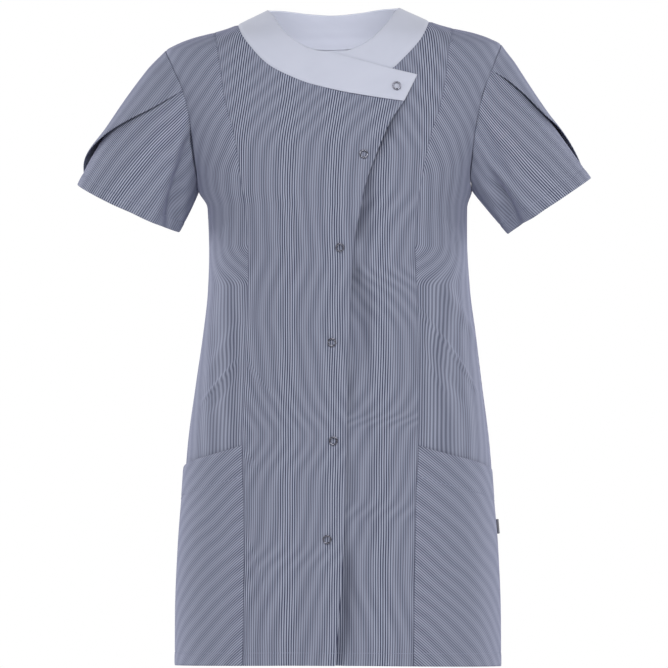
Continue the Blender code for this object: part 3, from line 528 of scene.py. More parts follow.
def outward(points, middle):
    """(angle, z) where the body's surface is, straight out from points near it."""
    x, y, z = np.moveaxis(points, -1, 0)
    angle = wrapped(np.degrees(np.arctan2(x, -y)) - middle) + middle
    slope = np.clip(z - RAY_Z, 0, None) / np.hypot(x, y)
    above = z > RAY_Z
    low, high = np.minimum(z, RAY_Z), np.where(above, FIGURE[-1][0], z)
    for _ in range(BISECTIONS):
        half = (low[above] + high[above]) / 2
        inside = half - RAY_Z < slope[above] * body_radius(angle[above], half)
        low[above] = np.where(inside, half, low[above])
        high[above] = np.where(inside, high[above], half)
    return np.stack([angle, high], -1)


def normals_of(surface, a, b, step_a, step_b):
    """The ways out of a surface of two measures, by small steps in both."""
    normal = np.cross(
        surface(a + step_a, b) - surface(a - step_a, b), surface(a, b + step_b) - surface(a, b - step_b)
    )
    return normal / np.linalg.norm(normal, axis=-1, keepdims=True)


def skin(angle, z):
    """Points of the body's surface without folds, and the ways out of it."""

    def bare(angle, z):
        figure, radius = level(z), body_radius(angle, z)
        turned = np.radians(angle - figure["turn"])
        low = np.clip((z - HEM_RISE_FROM) / (HEM_Z - HEM_RISE_FROM), 0, 1)
        rise = HEM_FRONT_RISE * np.clip(np.cos(np.radians(angle)), 0, 1) * low
        x = radius * np.sin(turned)
        tilt = SHOULDER_TILT * x * np.clip((z - TILT_START) / (TILT_FULL - TILT_START), 0, 1)
        up = z + rise + table_at(HANG, z) + tilt
        return np.stack([figure["sway"] + x, -radius * np.cos(turned), up], -1)

    return bare(angle, z), normals_of(bare, angle, z, 0.5, 1.0)


def girth_table():
    """Cloth lengths round the body from the centre front, by height and angle up to the back."""
    heights = np.linspace(FIGURE[0][0], FIGURE[-1][0], GIRTH_LEVELS)
    degrees = np.linspace(0.0, 180.0, GIRTH_ANGLES)
    points = filled(np.stack(np.meshgrid(degrees, heights), -1))
    return heights, degrees, across_rows(points[..., :2])


GIRTHS = girth_table()


def girth(angle, z):
    """Cloth length round the body at height z, from the centre front to an angle, with its sign."""
    heights, degrees, table = GIRTHS
    turn = wrapped(angle)
    i = np.clip((z - heights[0]) / (heights[1] - heights[0]), 0, len(heights) - INSIDE)
    j = np.clip(np.abs(turn) / (degrees[1] - degrees[0]), 0, len(degrees) - INSIDE)
    row, column = i.astype(int), j.astype(int)
    u, v = i - row, j - column
    low = table[row, column] * (1 - v) + table[row, column + 1] * v
    high = table[row + 1, column] * (1 - v) + table[row + 1, column + 1] * v
    return np.sign(turn) * (low * (1 - u) + high * u)


def whole_girth(z):
    """Cloth length all round the body."""
    return 2 * girth(np.full_like(z, JUST_LEFT_OF_BACK), z)


def laid(places):
    """Places by their cloth length round the body and their height."""
    return np.stack([girth(places[..., 0], places[..., 1]), places[..., 1]], -1)


def folds_at(angle, z):
    """How far the body's soft folds move the cloth out."""
    out = np.zeros_like(angle)
    for middle, height, wide, long, lean, most in FOLDS:
        across, up = np.radians(wrapped(angle - middle)) * BODY_REACH, z - height
        cosine, sine = math.cos(math.radians(lean)), math.sin(math.radians(lean))
        beside, along = across * cosine - up * sine, across * sine + up * cosine
        out += most * bell(beside / wide, along / long)
    return out


def creases_at(angle, z):
    """How far the body's creases move the cloth out."""
    round_it, around = girth(angle, z), whole_girth(z)
    out = np.zeros_like(z)
    for behind, x0, z0, x1, z1, bow, wide, most, power in CREASES:
        start, end = laid(placed(np.array([[x0, z0], [x1, z1]]), behind))
        size = np.linalg.norm(end - start)
        way = (end - start) / size
        across, up = wrapped(round_it - start[0], around), z - start[1]
        along = (across * way[0] + up * way[1]) / size
        beside = across * -way[1] + up * way[0] - bow * 4 * along * (1 - along)
        taper = np.clip(np.sin(np.pi * np.clip(along, 0, 1)), 0, 1) ** CREASE_TAPER
        out += most * taper * np.exp(-(np.abs(beside / wide) ** power))
    return out


def closing_lift(places):
    """How far the front that laps over stands out: over the other front, and more between snaps."""
    z, x = places[..., 1], filled(places)[..., 0]
    lap = LAP_STEP * step_up((x - x_at(UNDERLAP_EDGE, z) + LAP_START) / LAP_RISE)
    heights = [row[1] for row in SNAPS] + [2 * HEM_Z - SNAPS[-1][1]]
    lift = np.zeros_like(z)
    for top, bottom, most in zip(heights, heights[1:], EDGE_LIFTS):
        lift += most * np.sin(np.pi * np.clip((top - z) / (top - bottom), 0, 1)) ** 2
    return lap + lift * bell(np.clip(x_at(FRONT_EDGE, z) - x, 0, None) / EDGE_LIFT_REACH)


def closing_dip(places):
    """How far the front beneath goes in along the edge that laps over it."""
    z, x = places[..., 1], filled(places)[..., 0]
    return -table_at(EDGE_DIPS, z) * bell((x - x_at(FRONT_EDGE, z)) / EDGE_DIP_REACH)


def snap_dents(places):
    """How far the cloth is drawn in round the snaps."""
    snaps = laid(placed(np.array(SNAPS)))
    ways = [np.linalg.norm(laid(places) - snap, axis=-1) for snap in snaps]
    return -SNAP_DENT * sum(bell(way / SNAP_DENT_REACH) for way in ways)


# ==== sheets of places
def blended(edges, v, u):
    """A Coons patch between its left, right, bottom and top edges."""
    left, right, bottom, top = edges
    v, u = v[:, None, None], u[None, :, None]
    left, right, bottom, top = left[:, None], right[:, None], bottom[None], top[None]
    bottom_shape = bottom - (1 - u) * bottom[:, :1] - u * bottom[:, -1:]
    top_shape = top - (1 - u) * top[:, :1] - u * top[:, -1:]
    return (1 - u) * left + u * right + (1 - v) * bottom_shape + v * top_shape


def ease(points):
    """Moves a sheet's inner points so that its cells come closer to squares, by Winslow's rule."""
    left, right = points[1:-1, :-2], points[1:-1, 2:]
    below, above = points[:-2, 1:-1], points[2:, 1:-1]
    across, up = right - left, above - below
    slant = (across * up).sum(-1, keepdims=True)
    across2, up2 = (across**2).sum(-1, keepdims=True), (up**2).sum(-1, keepdims=True)
    twist = points[2:, 2:] - points[2:, :-2] - points[:-2, 2:] + points[:-2, :-2]
    points[1:-1, 1:-1] = (
        up2 * (left + right) + across2 * (below + above) - slant * twist / 2
    ) / (2 * (up2 + across2))


def sheet(left, right, top, rows, columns, middle=0.0, splits=(ROW_SPLITS, COLUMN_SPLITS)):
    """(angle, z) of a body piece between its sides, its top edge and the hem.

    Each edge is a function of fractional rows, or of shares of the width. The sheet is settled on
    the rows and columns that the solids have, and then split and fitted to its edges again.
    """

    def edges(v, u):
        hem = np.linspace(left(np.zeros(1))[0], right(np.zeros(1))[0], FINE_STEPS)
        return [filled(line) for line in (left(v), right(v), evenly(hem, u), top(u))]

    v, u = np.arange(rows + 1.0), np.linspace(0, 1, columns + 1)
    places = outward(blended(edges(v, u), v / rows, u), middle)
    for _ in range(EASINGS):
        points = filled(places)
        for _ in range(EASING_STEPS):
            ease(points)
        places[1:-1, 1:-1] = outward(points, middle)[1:-1, 1:-1]

    v, u = split(rows, splits[0]), split(columns, splits[1]) / columns
    points = rounded(filled(places), v)
    points = np.swapaxes(rounded(np.swapaxes(points, 0, 1), u * columns), 0, 1)
    now = (points[:, 0], points[:, -1], points[0], points[-1])
    off = [edge - line for edge, line in zip(edges(v, u), now)]
    return outward(points + blended(off, v / rows, u), middle)


def armhole(side, arm):
    """(angle, z) of armhole places, by degrees round the arm from the shoulder tip to the front."""
    arm = np.asarray(arm, float)
    cosine, sine = np.cos(np.radians(arm)), np.sin(np.radians(arm))
    z = (SHOULDER_TIP_Z + UNDERARM_Z) / 2 + (SHOULDER_TIP_Z - UNDERARM_Z) / 2 * cosine
    depth = np.where(sine > 0, ARMHOLE_DEPTH_FRONT, ARMHOLE_DEPTH_BACK) * np.abs(sine)
    figure = level(z)
    full = np.where(sine > 0, figure["front"], figure["back"])
    x = figure["wide"] * superellipse(depth / full, figure["box"])
    angle = np.degrees(np.arctan2(x, np.where(sine > 0, depth, -depth)))
    ends = np.abs(wrapped(arm)) % 180 < TINY
    return np.stack([side * np.where(ends, 90.0, angle), z], -1)


def evenly(line, shares):
    """Places at shares of the length of a line of many (angle, z)."""
    along = distances(filled(line))
    at = along[-1] * np.asarray(shares)
    return np.stack([np.interp(at, along, line[:, 0]), np.interp(at, along, line[:, 1])], 1)


def placed(line, back=False):
    """(angle, z) of places given as (x, z)."""
    angle = angle_at(line[..., 0], line[..., 1], back)
    return np.stack([angle % 360 if back else angle, line[..., 1]], -1)


def line_of(rows, shares, back=False):
    """(angle, z) at shares of the smooth line through rows of (x, z)."""
    rows = np.array(rows)
    along = distances(rows)
    fine = np.linspace(0, along[-1], FINE_STEPS)
    line = np.stack([monotone(along, column, fine) for column in rows.T], 1)
    return evenly(placed(line, back), shares)


def front_seam(rows, levels):
    """(angle, z) of a front seam or edge at levels."""
    return placed(np.stack([x_at(rows, levels), levels], 1))


def at_side(z):
    """(angle, z) of places straight out to the wearer's left."""
    return np.stack([np.full(len(z), 90.0), z], 1)


def long_seam(v, mouth, underarm, upper, tip, shoulder_rows):
    """The three parts of a seam by rows: levels up to the underarm, the upper part's shares, and
    (angle, z) up the shoulder seam to the neckband."""
    top = ROWS_TO_UNDERARM
    low, high = v[v < top], v[(v >= top) & (v <= ROWS_TO_SHOULDER)]
    levels = np.interp(low, [0, ROWS_HEM_TO_MOUTH, top], [HEM_Z, mouth, underarm])
    share = (v[v > ROWS_TO_SHOULDER] - ROWS_TO_SHOULDER) / shoulder_rows
    shoulder = at_side(tip + (BAND_SHOULDER_Z - tip) * share)
    return levels, upper((high - top) / ROWS_ARMHOLE), shoulder


def princess(v):
    """(angle, z) of the wearer's left princess seam, and then of the shoulder seam, by rows."""
    line = front_seam(PRINCESS, np.linspace(PRINCESS_BUST_Z, SHOULDER_PRINCESS_Z, FINE_STEPS))
    levels, upper, shoulder = long_seam(
        v, MOUTH_Z_INNER, PRINCESS_BUST_Z, lambda share: evenly(line, share), SHOULDER_PRINCESS_Z,
        FRONT_SHOULDER_ROWS,
    )
    return np.concatenate([front_seam(PRINCESS, levels), upper, shoulder])


def side_line(v, back=False):
    """(angle, z) of the wearer's left side seam, armhole and, behind, shoulder seam, by rows."""
    half = -180.0 if back else 180.0
    levels, upper, shoulder = long_seam(
        v, MOUTH_Z_OUTER, UNDERARM_Z, lambda share: armhole(1, half * (1 - share)), SHOULDER_TIP_Z,
        BACK_SHOULDER_ROWS,
    )
    return np.concatenate([at_side(levels), upper, shoulder])


def front_sheet(side, edge, band_seam):
    """(angle, z) of a centre front with its princess seam on the side given."""
    rows = ROWS_TO_SHOULDER + FRONT_SHOULDER_ROWS
    closing = front_seam(edge, np.linspace(HEM_Z, edge[-1][1], FINE_STEPS))
    sides = (lambda v: princess(v) * (side, 1), lambda v: evenly(closing, v / rows))
    return sheet(
        *sides[::-side], lambda u: line_of(band_seam, u), rows, BAND_COLUMNS, splits=FRONT_SPLITS
    )


def side_sheet(side):
    """(angle, z) of a side front, from princess seam to side seam and armhole."""

    def shoulder(u):
        return at_side(SHOULDER_PRINCESS_Z * (1 - u) + SHOULDER_TIP_Z * u)

    places = sheet(
        princess, side_line, shoulder, ROWS_TO_SHOULDER, SIDE_COLUMNS, splits=FRONT_SPLITS
    )
    return places if side > 0 else places[:, ::-1] * (-1, 1)


def back_sheet():
    """(angle, z) of the back, from the wearer's left side to the right."""
    return sheet(
        lambda v: side_line(v, back=True),
        lambda v: side_line(v, back=True) * (-1, 1) + (360, 0),
        lambda u: line_of(BACKBAND_SEAM, u, back=True),
        ROWS_TO_SHOULDER + BACK_SHOULDER_ROWS, BACKBAND_COLUMNS, middle=180.0,
    )


def band_sheet(seam, top, columns, back=False):
    """(angle, z) of a neckband piece between its outer seam and its free upper edge."""
    u = split(columns, COLUMN_SPLITS) / columns
    across = (split(BAND_ROWS, ROW_SPLITS) / BAND_ROWS)[:, None, None]
    return line_of(seam, u, back)[None] * (1 - across) + line_of(top, u, back)[None] * across


# ==== sleeves
def sleeve_skin(side, arm, share):
    """Points of a sleeve by degrees round the arm and share of its length, and the ways out."""
    hem_x, hem_z, hem_half, hem_tilt, hem_drop, crown = SLEEVES[side]
    tilt = math.radians(hem_tilt)

    def bare(arm, share):
        start = armhole(side, arm)
        start = skin(start[..., 0], start[..., 1])[0]
        a = np.radians(arm)
        before, wide = np.sin(a), hem_half * np.cos(a)
        end = np.stack([
            side * (hem_x + wide * math.cos(tilt)),
            SLEEVE_HEM_Y - SLEEVE_HEM_HALF_DEPTH * before,
            hem_z + wide * math.sin(tilt) - hem_drop * np.clip(before, 0, 1),
        ], -1)
        rise = SLEEVE_CROWN_SIDE + (crown - SLEEVE_CROWN_SIDE) * np.clip(np.cos(a), 0, 1)
        inner = step_up((UNDERARM_COSINE - np.cos(a)) / UNDERARM_REACH + 0.5)
        rise = rise * (1 - (1 - UNDERARM_SHARE) * inner) * 4 * share * (1 - share)
        way_out = np.stack([
            side * np.cos(a) * math.cos(tilt), -before, np.abs(np.cos(a)) * math.sin(tilt)
        ], -1)
        return start + (end - start) * share[..., None] + way_out * rise[..., None]

    return bare(arm, share), normals_of(bare, arm, share, 1.0, 0.01) * side


def sleeve_folds(side, arm, share):
    """How far a sleeve's folds and creases move its cloth out."""
    out = np.zeros_like(arm)
    for where, middle, place, wide, long, most in SLEEVE_FOLDS:
        if where == side:
            across = np.radians(wrapped(arm - middle)) * ARM_REACH
            out += most * bell(across / wide, (share - place) / long)
    scale = np.array([math.radians(ARM_REACH), SLEEVE_LENGTH])
    at = np.stack([arm, share], -1) * scale
    for where, arm0, share0, arm1, share1, wide, most in SLEEVE_CREASES:
        if where == side:
            start, end = np.array([[arm0, share0], [arm1, share1]]) * scale
            way, size = end - start, np.linalg.norm(end - start)
            along = (at - start) @ way / size**2
            beside = (at - start) @ np.array([-way[1], way[0]]) / size
            out += most * np.sin(np.pi * np.clip(along, 0, 1)) ** 2 * bell(beside / wide)
    return out


def petal_uv(side, arm, share):
    """Cloth lengths round the arm from its top, and down the sleeve, in metres."""
    degrees = np.linspace(-180.0, 180.0, ARM_ANGLES)
    points = sleeve_skin(side, *np.broadcast_arrays(degrees[None], share))[0]
    top = ARM_ANGLES // 2
    around, down = across_rows(points), distances(points[:, top])
    uv = [
        [np.interp(arms, degrees, row - row[top]), np.full(len(arms), length)]
        for arms, row, length in zip(arm, around, down)
    ]
    return np.moveaxis(np.array(uv), 1, -1) * MM


# ==== how cloth meets its edges
def margins(points):
    """Each point's distances from the sheet's left, right, bottom and top edges."""
    across, up = across_rows(points), distances(points)
    return {"left": across, "right": across[:, -1:] - across, "bottom": up, "top": up[-1:] - up}


def sewn(away, *edges, dip=SEAM_DIP, reach=SEAM_REACH):
    """How far the cloth goes in along its sewn edges."""
    return sum(-dip * bell(away[edge] / reach) for edge in edges)


def turned(away, *edges):
    """How far a folded free edge rounds in."""
    return sewn(away, *edges, dip=EDGE_ROLL, reach=EDGE_ROLL_REACH)


def faced(away, edge, depth):
    """How far a turned hem stands out, with the dent of its stitches."""
    near = np.clip((depth - away[edge]) / FACING_EDGE, 0, 1)
    return FACING_RISE * near - STITCH_DENT * bell((away[edge] - depth) / STITCH_DENT_REACH)


def clear_zones(across):
    """How clear the stripes are, by where they stand: in zones an even way apart."""
    return bell(wrapped(across - CLEAR_START, CLEAR_PITCH) / CLEAR_HALF)


def beside_seam(distance, least, more, reach):
    """A share that is greatest beside a seam."""
    return least + more * bell(distance / reach)


def striped(context, across, clear, moved=0.0):
    """A piece's stripe map: the stripes' place in metres, the bands' in bands, and how clear."""
    bands = (across - moved) * MM / context.scene.tunic_sizes.beat_pitch
    return np.stack(np.broadcast_arrays(across * MM, bands, clear), -1)


def row_at(points, normals, edge, depth):
    """A line of points on a sheet at a depth from its bottom or top edge, just over the cloth."""
    away, over = margins(points)[edge], points + normals * STITCH_STAND
    line = []
    for ways, column in zip(away.T, np.swapaxes(over, 0, 1)):
        order = np.argsort(ways)
        line.append([np.interp(depth, ways[order], axis) for axis in column[order].T])
    return np.array(line)


# ==== making objects
def linear(hex_colour):
    """An sRGB hex colour as Blender's linear red, green and blue."""
    parts = [int(hex_colour[i : i + 2], 16) / 255 for i in (1, 3, 5)]
    return tuple(p / 12.92 if p <= 0.04045 else ((p + 0.055) / 1.055) ** 2.4 for p in parts)


def connect(tree, node, inputs):
    """Gives a node's sockets their values, or links other nodes' outputs to them."""
    for socket, value in inputs:
        if isinstance(value, bpy.types.NodeSocket):
            tree.links.new(value, node.inputs[socket])
        else:
            node.inputs[socket].default_value = value


def add(tree, kind, inputs=(), **settings):
    """A new node with its settings; inputs are (socket, value or another node's output)."""
    node = tree.nodes.new(kind)
    for name, value in settings.items():
        setattr(node, name, value)
    connect(tree, node, inputs)
    return node


def out_of(tree, kind, inputs=(), output=0, **settings):
    """An output of a new node."""
    return add(tree, kind, inputs, **settings).outputs[output]


def maths(tree, operation, *values):
    """A sum or product of values and outputs."""
    return out_of(tree, "ShaderNodeMath", enumerate(values), operation=operation)


def noise(tree, place, scale, detail=2.0):
    """Cloudy noise, by its scale."""
    inputs = [("Vector", place), ("Scale", scale), ("Detail", detail)]
    return out_of(tree, "ShaderNodeTexNoise", inputs)


def bump(tree, height, distance, *more):
    """The ways out of a surface that is uneven by a height."""
    return out_of(tree, "ShaderNodeBump", [("Height", height), ("Distance", distance), *more])


def ranged(tree, value, least, most):
    """A share of 0 to 1 moved to another range."""
    return out_of(tree, "ShaderNodeMapRange", [(0, value), ("To Min", least), ("To Max", most)])


def between(tree, share, first, second):
    """A colour between two, by share."""
    inputs = [(0, share), (6, (*first, 1)), (7, (*second, 1))]
    return out_of(tree, "ShaderNodeMix", inputs, output=2, data_type="RGBA")


def uv_of(tree, name="cloth"):
    """A UV map of the cloth."""
    return out_of(tree, "ShaderNodeUVMap", uv_map=name)


def place_of(tree):
    """The place on the object itself."""
    return out_of(tree, "ShaderNodeTexCoord", output="Object")


def finish(shader_inputs):
    """A material with the name of a function that gives its shader's inputs, made once."""

    def once(context):
        name, scene = shader_inputs.__name__, context.scene
        if name in bpy.data.materials:
            return bpy.data.materials[name]
        material = bpy.data.materials.new(name)
        material.use_nodes = True
        tree = material.node_tree
        tree.nodes.clear()
        shader = add(tree, "ShaderNodeBsdfPrincipled")
        add(tree, "ShaderNodeOutputMaterial", [("Surface", shader.outputs[0])])
        connect(tree, shader, shader_inputs(tree, scene.tunic_colours, scene.tunic_sizes))
        return material

    return once


def put(name, data):
    """A new object in the scene."""
    made = bpy.data.objects.new(name, data)
    bpy.context.scene.collection.objects.link(made)
    return made


def smooth_mesh(name, points, faces, material):
    """A smooth mesh of one material from points in metres and its faces."""
    mesh = bpy.data.meshes.new(name)
    mesh.from_pydata(points.reshape(-1, 3).tolist(), [], faces.tolist())
    mesh.shade_smooth()
    mesh.materials.append(material)
    return mesh


def cloth_object(name, points, uv, material, wall, stripes=None):
    """A sheet of cloth: a grid of points in millimetres with its UV maps and its wall."""
    index = np.arange(points[..., 0].size).reshape(points.shape[:2])
    faces = np.stack([index[:-1, :-1], index[:-1, 1:], index[1:, 1:], index[1:, :-1]], -1)
    mesh = smooth_mesh(name, points * MM, faces.reshape(-1, 4), material)
    maps = {"cloth": uv} if stripes is None else {"cloth": uv, "stripes": stripes[..., :2]}
    for title, places in maps.items():
        values = places.reshape(-1, 2)[faces.reshape(-1)].astype(np.float32)
        mesh.uv_layers.new(name=title).data.foreach_set("uv", values.reshape(-1))
    if stripes is not None:
        clear = mesh.attributes.new("clear", "FLOAT", "POINT")
        clear.data.foreach_set("value", stripes[..., 2].astype(np.float32).reshape(-1))
    made = put(name, mesh)
    thick = made.modifiers.new("wall", "SOLIDIFY")
    thick.thickness, thick.offset = wall, -1.0
    return made


def declare(made, node):
    """Hangs a sheet of cloth on the root empty and hides the solid that it stands in for."""
    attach(made, "root")
    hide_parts(node)


def body_cloth(context, name, places, out, uv, stripes=None):
    """A piece of the body, striped or white: places moved out, made and declared."""
    sizes = context.scene.tunic_sizes
    angle, z = places[..., 0], places[..., 1]
    smooth, normal = skin(angle, z)
    material, wall, slot = white_poplin, sizes.band_wall, "white_cloth"
    if stripes is not None:
        out = out + folds_at(angle, z) + creases_at(angle, z)
        material, wall, slot = striped_poplin, sizes.cloth_wall, "striped_cloth"
    points = smooth + normal * out[..., None]
    made = cloth_object(name, points, uv, material(context), wall, stripes)
    declare(made, name)
    return points, normal


def body_uv(places):
    """Cloth lengths round the body and up it, in metres."""
    return (laid(places) - (0.0, HEM_Z)) * MM


def band_uv(away):
    """Cloth lengths across a sheet and up it, in metres."""
    return np.stack([away["left"], away["bottom"]], -1) * MM


# ==== materials
@finish
def striped_poplin(tree, colours, sizes):
    """Yarn-dyed poplin of cotton and polyester, plain woven: matt, with a faint sheen at the sides.

    The real stripes are about 1 mm apart. They are drawn as coarse as they show in the picture,
    where they beat with its own grid: lighter and darker bands that wander over the cloth.
    """
    uv = uv_of(tree)
    place = add(tree, "ShaderNodeSeparateXYZ", [(0, uv_of(tree, "stripes"))])
    clear = out_of(tree, "ShaderNodeAttribute", output="Fac", attribute_name="clear")
    moved = maths(tree, "MULTIPLY_ADD", noise(tree, uv, 9.0, 1.0), STRIPE_WANDER, place.outputs[0])
    phase = maths(tree, "MULTIPLY", moved, 2 * math.pi / sizes.stripe_pitch)
    bands = maths(tree, "MULTIPLY_ADD", noise(tree, uv, 6.0), BAND_WANDER, place.outputs[1])
    band = maths(tree, "SINE", maths(tree, "MULTIPLY", bands, 2 * math.pi))
    even = maths(tree, "MULTIPLY_ADD", band, colours.band_contrast, 0.5)
    contrast = ranged(tree, clear, colours.least_contrast, colours.most_contrast)
    share = maths(tree, "MULTIPLY_ADD", maths(tree, "SINE", phase), contrast, even)
    soft = bump(tree, noise(tree, uv, 22.0), 0.0012, ("Strength", 0.5))
    weave = noise(tree, uv, 1400.0, 1.0)
    return [
        ("Base Color", between(tree, share, colours.stripe_dark, colours.stripe_light)),
        ("Normal", bump(tree, weave, 0.0002, ("Strength", 0.35), ("Normal", soft))),
        ("Roughness", 0.85), ("Specular IOR Level", 0.25), ("Sheen Weight", 0.25),
        ("Sheen Roughness", 0.45), ("Sheen Tint", (*colours.sheen, 1)),
    ]


@finish
def white_poplin(tree, colours, _):
    """The same poplin in bluish white, fused to a backing: flat, matt and smooth."""
    uv = uv_of(tree)
    cloud, weave = noise(tree, uv, 26.0), noise(tree, uv, 1300.0, 1.0)
    soft = bump(tree, cloud, 0.0008, ("Strength", 0.4))
    return [
        ("Base Color", between(tree, cloud, colours.band_shade, colours.band_white)),
        ("Normal", bump(tree, weave, 0.0001, ("Strength", 0.3), ("Normal", soft))),
        ("Roughness", 0.8), ("Specular IOR Level", 0.25), ("Sheen Weight", 0.2),
    ]


@finish
def spun_polyester_thread(tree, colours, _):
    """Sewing thread of spun polyester: pale, matt and slightly hairy."""
    ply = bump(tree, noise(tree, place_of(tree), 900.0), 0.0001)
    return [("Normal", ply), ("Base Color", (*colours.thread, 1)), ("Roughness", 0.7)]


@finish
def nickel_plated_brass(tree, colours, _):
    """Stamped brass with bright nickel plate, handled: clear reflections, faintly clouded."""
    rough = ranged(tree, noise(tree, place_of(tree), 500.0, 3.0), 0.18, 0.34)
    return [("Roughness", rough), ("Base Color", (*colours.nickel, 1)), ("Metallic", 1.0)]


@finish
def woven_tab(tree, colours, _):
    """A tightly woven taffeta tab: dark, fine ribs across it, a slight gloss."""
    inputs = [("Vector", uv_of(tree)), ("Scale", 300.0)]
    ribs = out_of(tree, "ShaderNodeTexWave", inputs, output=1, bands_direction="Y")
    return [
        ("Normal", bump(tree, ribs, 0.0001)), ("Base Color", (*colours.tab, 1)), ("Roughness", 0.55)
    ]


@finish
def painted_floor(tree, colours, _):
    """A pale floor in matt paint."""
    rough = ranged(tree, noise(tree, place_of(tree), 3.0), 0.7, 0.8)
    return [
        ("Roughness", rough), ("Base Color", (*colours.floor, 1)), ("Specular IOR Level", 0.1)
    ]


# ==== stitches
def stitch_tree(sizes, material):
    """Geometry nodes that lay stitches along a curve: short rounded threads, end to end."""
    tree = bpy.data.node_groups.new("stitches", "GeometryNodeTree")
    face = tree.interface
    face.new_socket("Line", in_out="INPUT", socket_type="NodeSocketGeometry")
    for name, size in (("Stitch length", sizes.stitch_pitch), ("Thread width", sizes.thread_width)):
        socket = face.new_socket(name, in_out="INPUT", socket_type="NodeSocketFloat")
        socket.default_value = size
    face.new_socket("Stitches", in_out="OUTPUT", socket_type="NodeSocketGeometry")
    line, pitch, width = add(tree, "NodeGroupInput").outputs[:3]
    points = add(
        tree, "GeometryNodeCurveToPoints", [("Curve", line), ("Length", pitch)], mode="LENGTH"
    )
    # a UV sphere of radius 1 scaled to one stitch, which covers 0.8 of its pitch
    sphere = [("Segments", 6), ("Rings", 4), ("Radius", 1.0)]
    ball = out_of(tree, "GeometryNodeMeshUVSphere", sphere)
    half, thick = maths(tree, "MULTIPLY", pitch, 0.4), maths(tree, "MULTIPLY", width, 0.5)
    scale = out_of(tree, "ShaderNodeCombineXYZ", [(0, thick), (1, thick), (2, half)])
    way = [("Vector", points.outputs["Tangent"])]
    turn = out_of(tree, "FunctionNodeAlignEulerToVector", way, axis="Z")
    each = [("Points", points.outputs[0]), ("Instance", ball), ("Rotation", turn), ("Scale", scale)]
    stitches = out_of(tree, "GeometryNodeInstanceOnPoints", each)
    real = out_of(tree, "GeometryNodeRealizeInstances", [(0, stitches)])
    shaded = out_of(tree, "GeometryNodeSetShadeSmooth", [(0, real)])
    done = out_of(tree, "GeometryNodeSetMaterial", [(0, shaded), ("Material", material)])
    add(tree, "NodeGroupOutput", [(0, done)])
    return tree


def stitch_lines(context, name, lines):
    """One mesh of stitches along lines of points in millimetres."""
    thread = spun_polyester_thread(context)
    tree = bpy.data.node_groups.get("stitches") or stitch_tree(context.scene.tunic_sizes, thread)
    curve = bpy.data.curves.new(name + "_line", "CURVE")
    curve.dimensions = "3D"
    for line in lines:
        spline = curve.splines.new("POLY")
        spline.points.add(len(line) - 1)
        spline.points.foreach_set("co", np.c_[line * MM, np.ones(len(line))].reshape(-1))
    guide = put(name + "_line", curve)
    guide.modifiers.new("stitches", "NODES").node_group = tree
    context.view_layer.update()
    evaluated = guide.evaluated_get(context.evaluated_depsgraph_get())
    mesh = bpy.data.meshes.new_from_object(evaluated)
    bpy.data.objects.remove(guide)
    made = put(name, mesh)
    mesh.name = name
    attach(made, "root")


# ==== sizes and colours a user may change
def a_length(name, description, default):
    """A length that a user may change, in metres."""
    return bpy.props.FloatProperty(
        name=name, description=description, default=default, unit="LENGTH"
    )


def a_share(name, description, default):
    """A share that a user may change."""
    return bpy.props.FloatProperty(
        name=name, description=description, default=default, subtype="FACTOR"
    )


def a_colour(name, description, hex_colour):
    """A colour that a user may change."""
    return bpy.props.FloatVectorProperty(
        name=name, description=description, default=linear(hex_colour), subtype="COLOR"
    )


class TunicSizes(bpy.types.PropertyGroup):
    cloth_wall: a_length("Cloth", "Thickness of the striped cloth", 0.0007)
    band_wall: a_length("Neckband", "Thickness of the doubled neckband", 0.0014)
    stripe_pitch: a_length("Stripes", "From one drawn stripe to the next", 0.0028)
    beat_pitch: a_length("Beat", "From one light band of the stripes to the next", 0.0175)
    stitch_pitch: a_length("Stitch", "Length of one stitch", 0.0030)
    thread_width: a_length("Thread", "Width of the sewing thread", 0.0005)
    ring_radius: a_length("Snap ring", "Mean radius of a snap's prong ring", 0.0043)
    ring_width: a_length("Ring width", "Half width of the ring's metal", 0.0008)
    ring_height: a_length("Ring height", "Half height of the ring's metal", 0.0006)


class TunicColours(bpy.types.PropertyGroup):
    least_contrast: a_share("Least contrast", "Of the stripes where they show least", 0.1)
    most_contrast: a_share("Most contrast", "Of the stripes where they show best", 0.75)
    band_contrast: a_share("Bands", "How light and dark the bands of the stripes are", 0.07)
    stripe_dark: a_colour("Dark stripe", "Navy yarn", "#343A52")
    stripe_light: a_colour("Light stripe", "White yarn", "#A9AEC1")
    sheen: a_colour("Sheen", "Tint of the cloth at a low angle", "#B9B8E4")
    band_white: a_colour("Neckband", "Bluish white cloth", "#CDD0DF")
    band_shade: a_colour("Neckband shade", "Its slightly darker clouds", "#C2C6D6")
    thread: a_colour("Thread", "Sewing thread", "#8F95AC")
    nickel: a_colour("Nickel", "Plate of the snap rings", "#74747E")
    tab: a_colour("Side tab", "Dark woven tab", "#20233A")
    floor: a_colour("Floor", "Pale studio floor", "#FAFAFC")


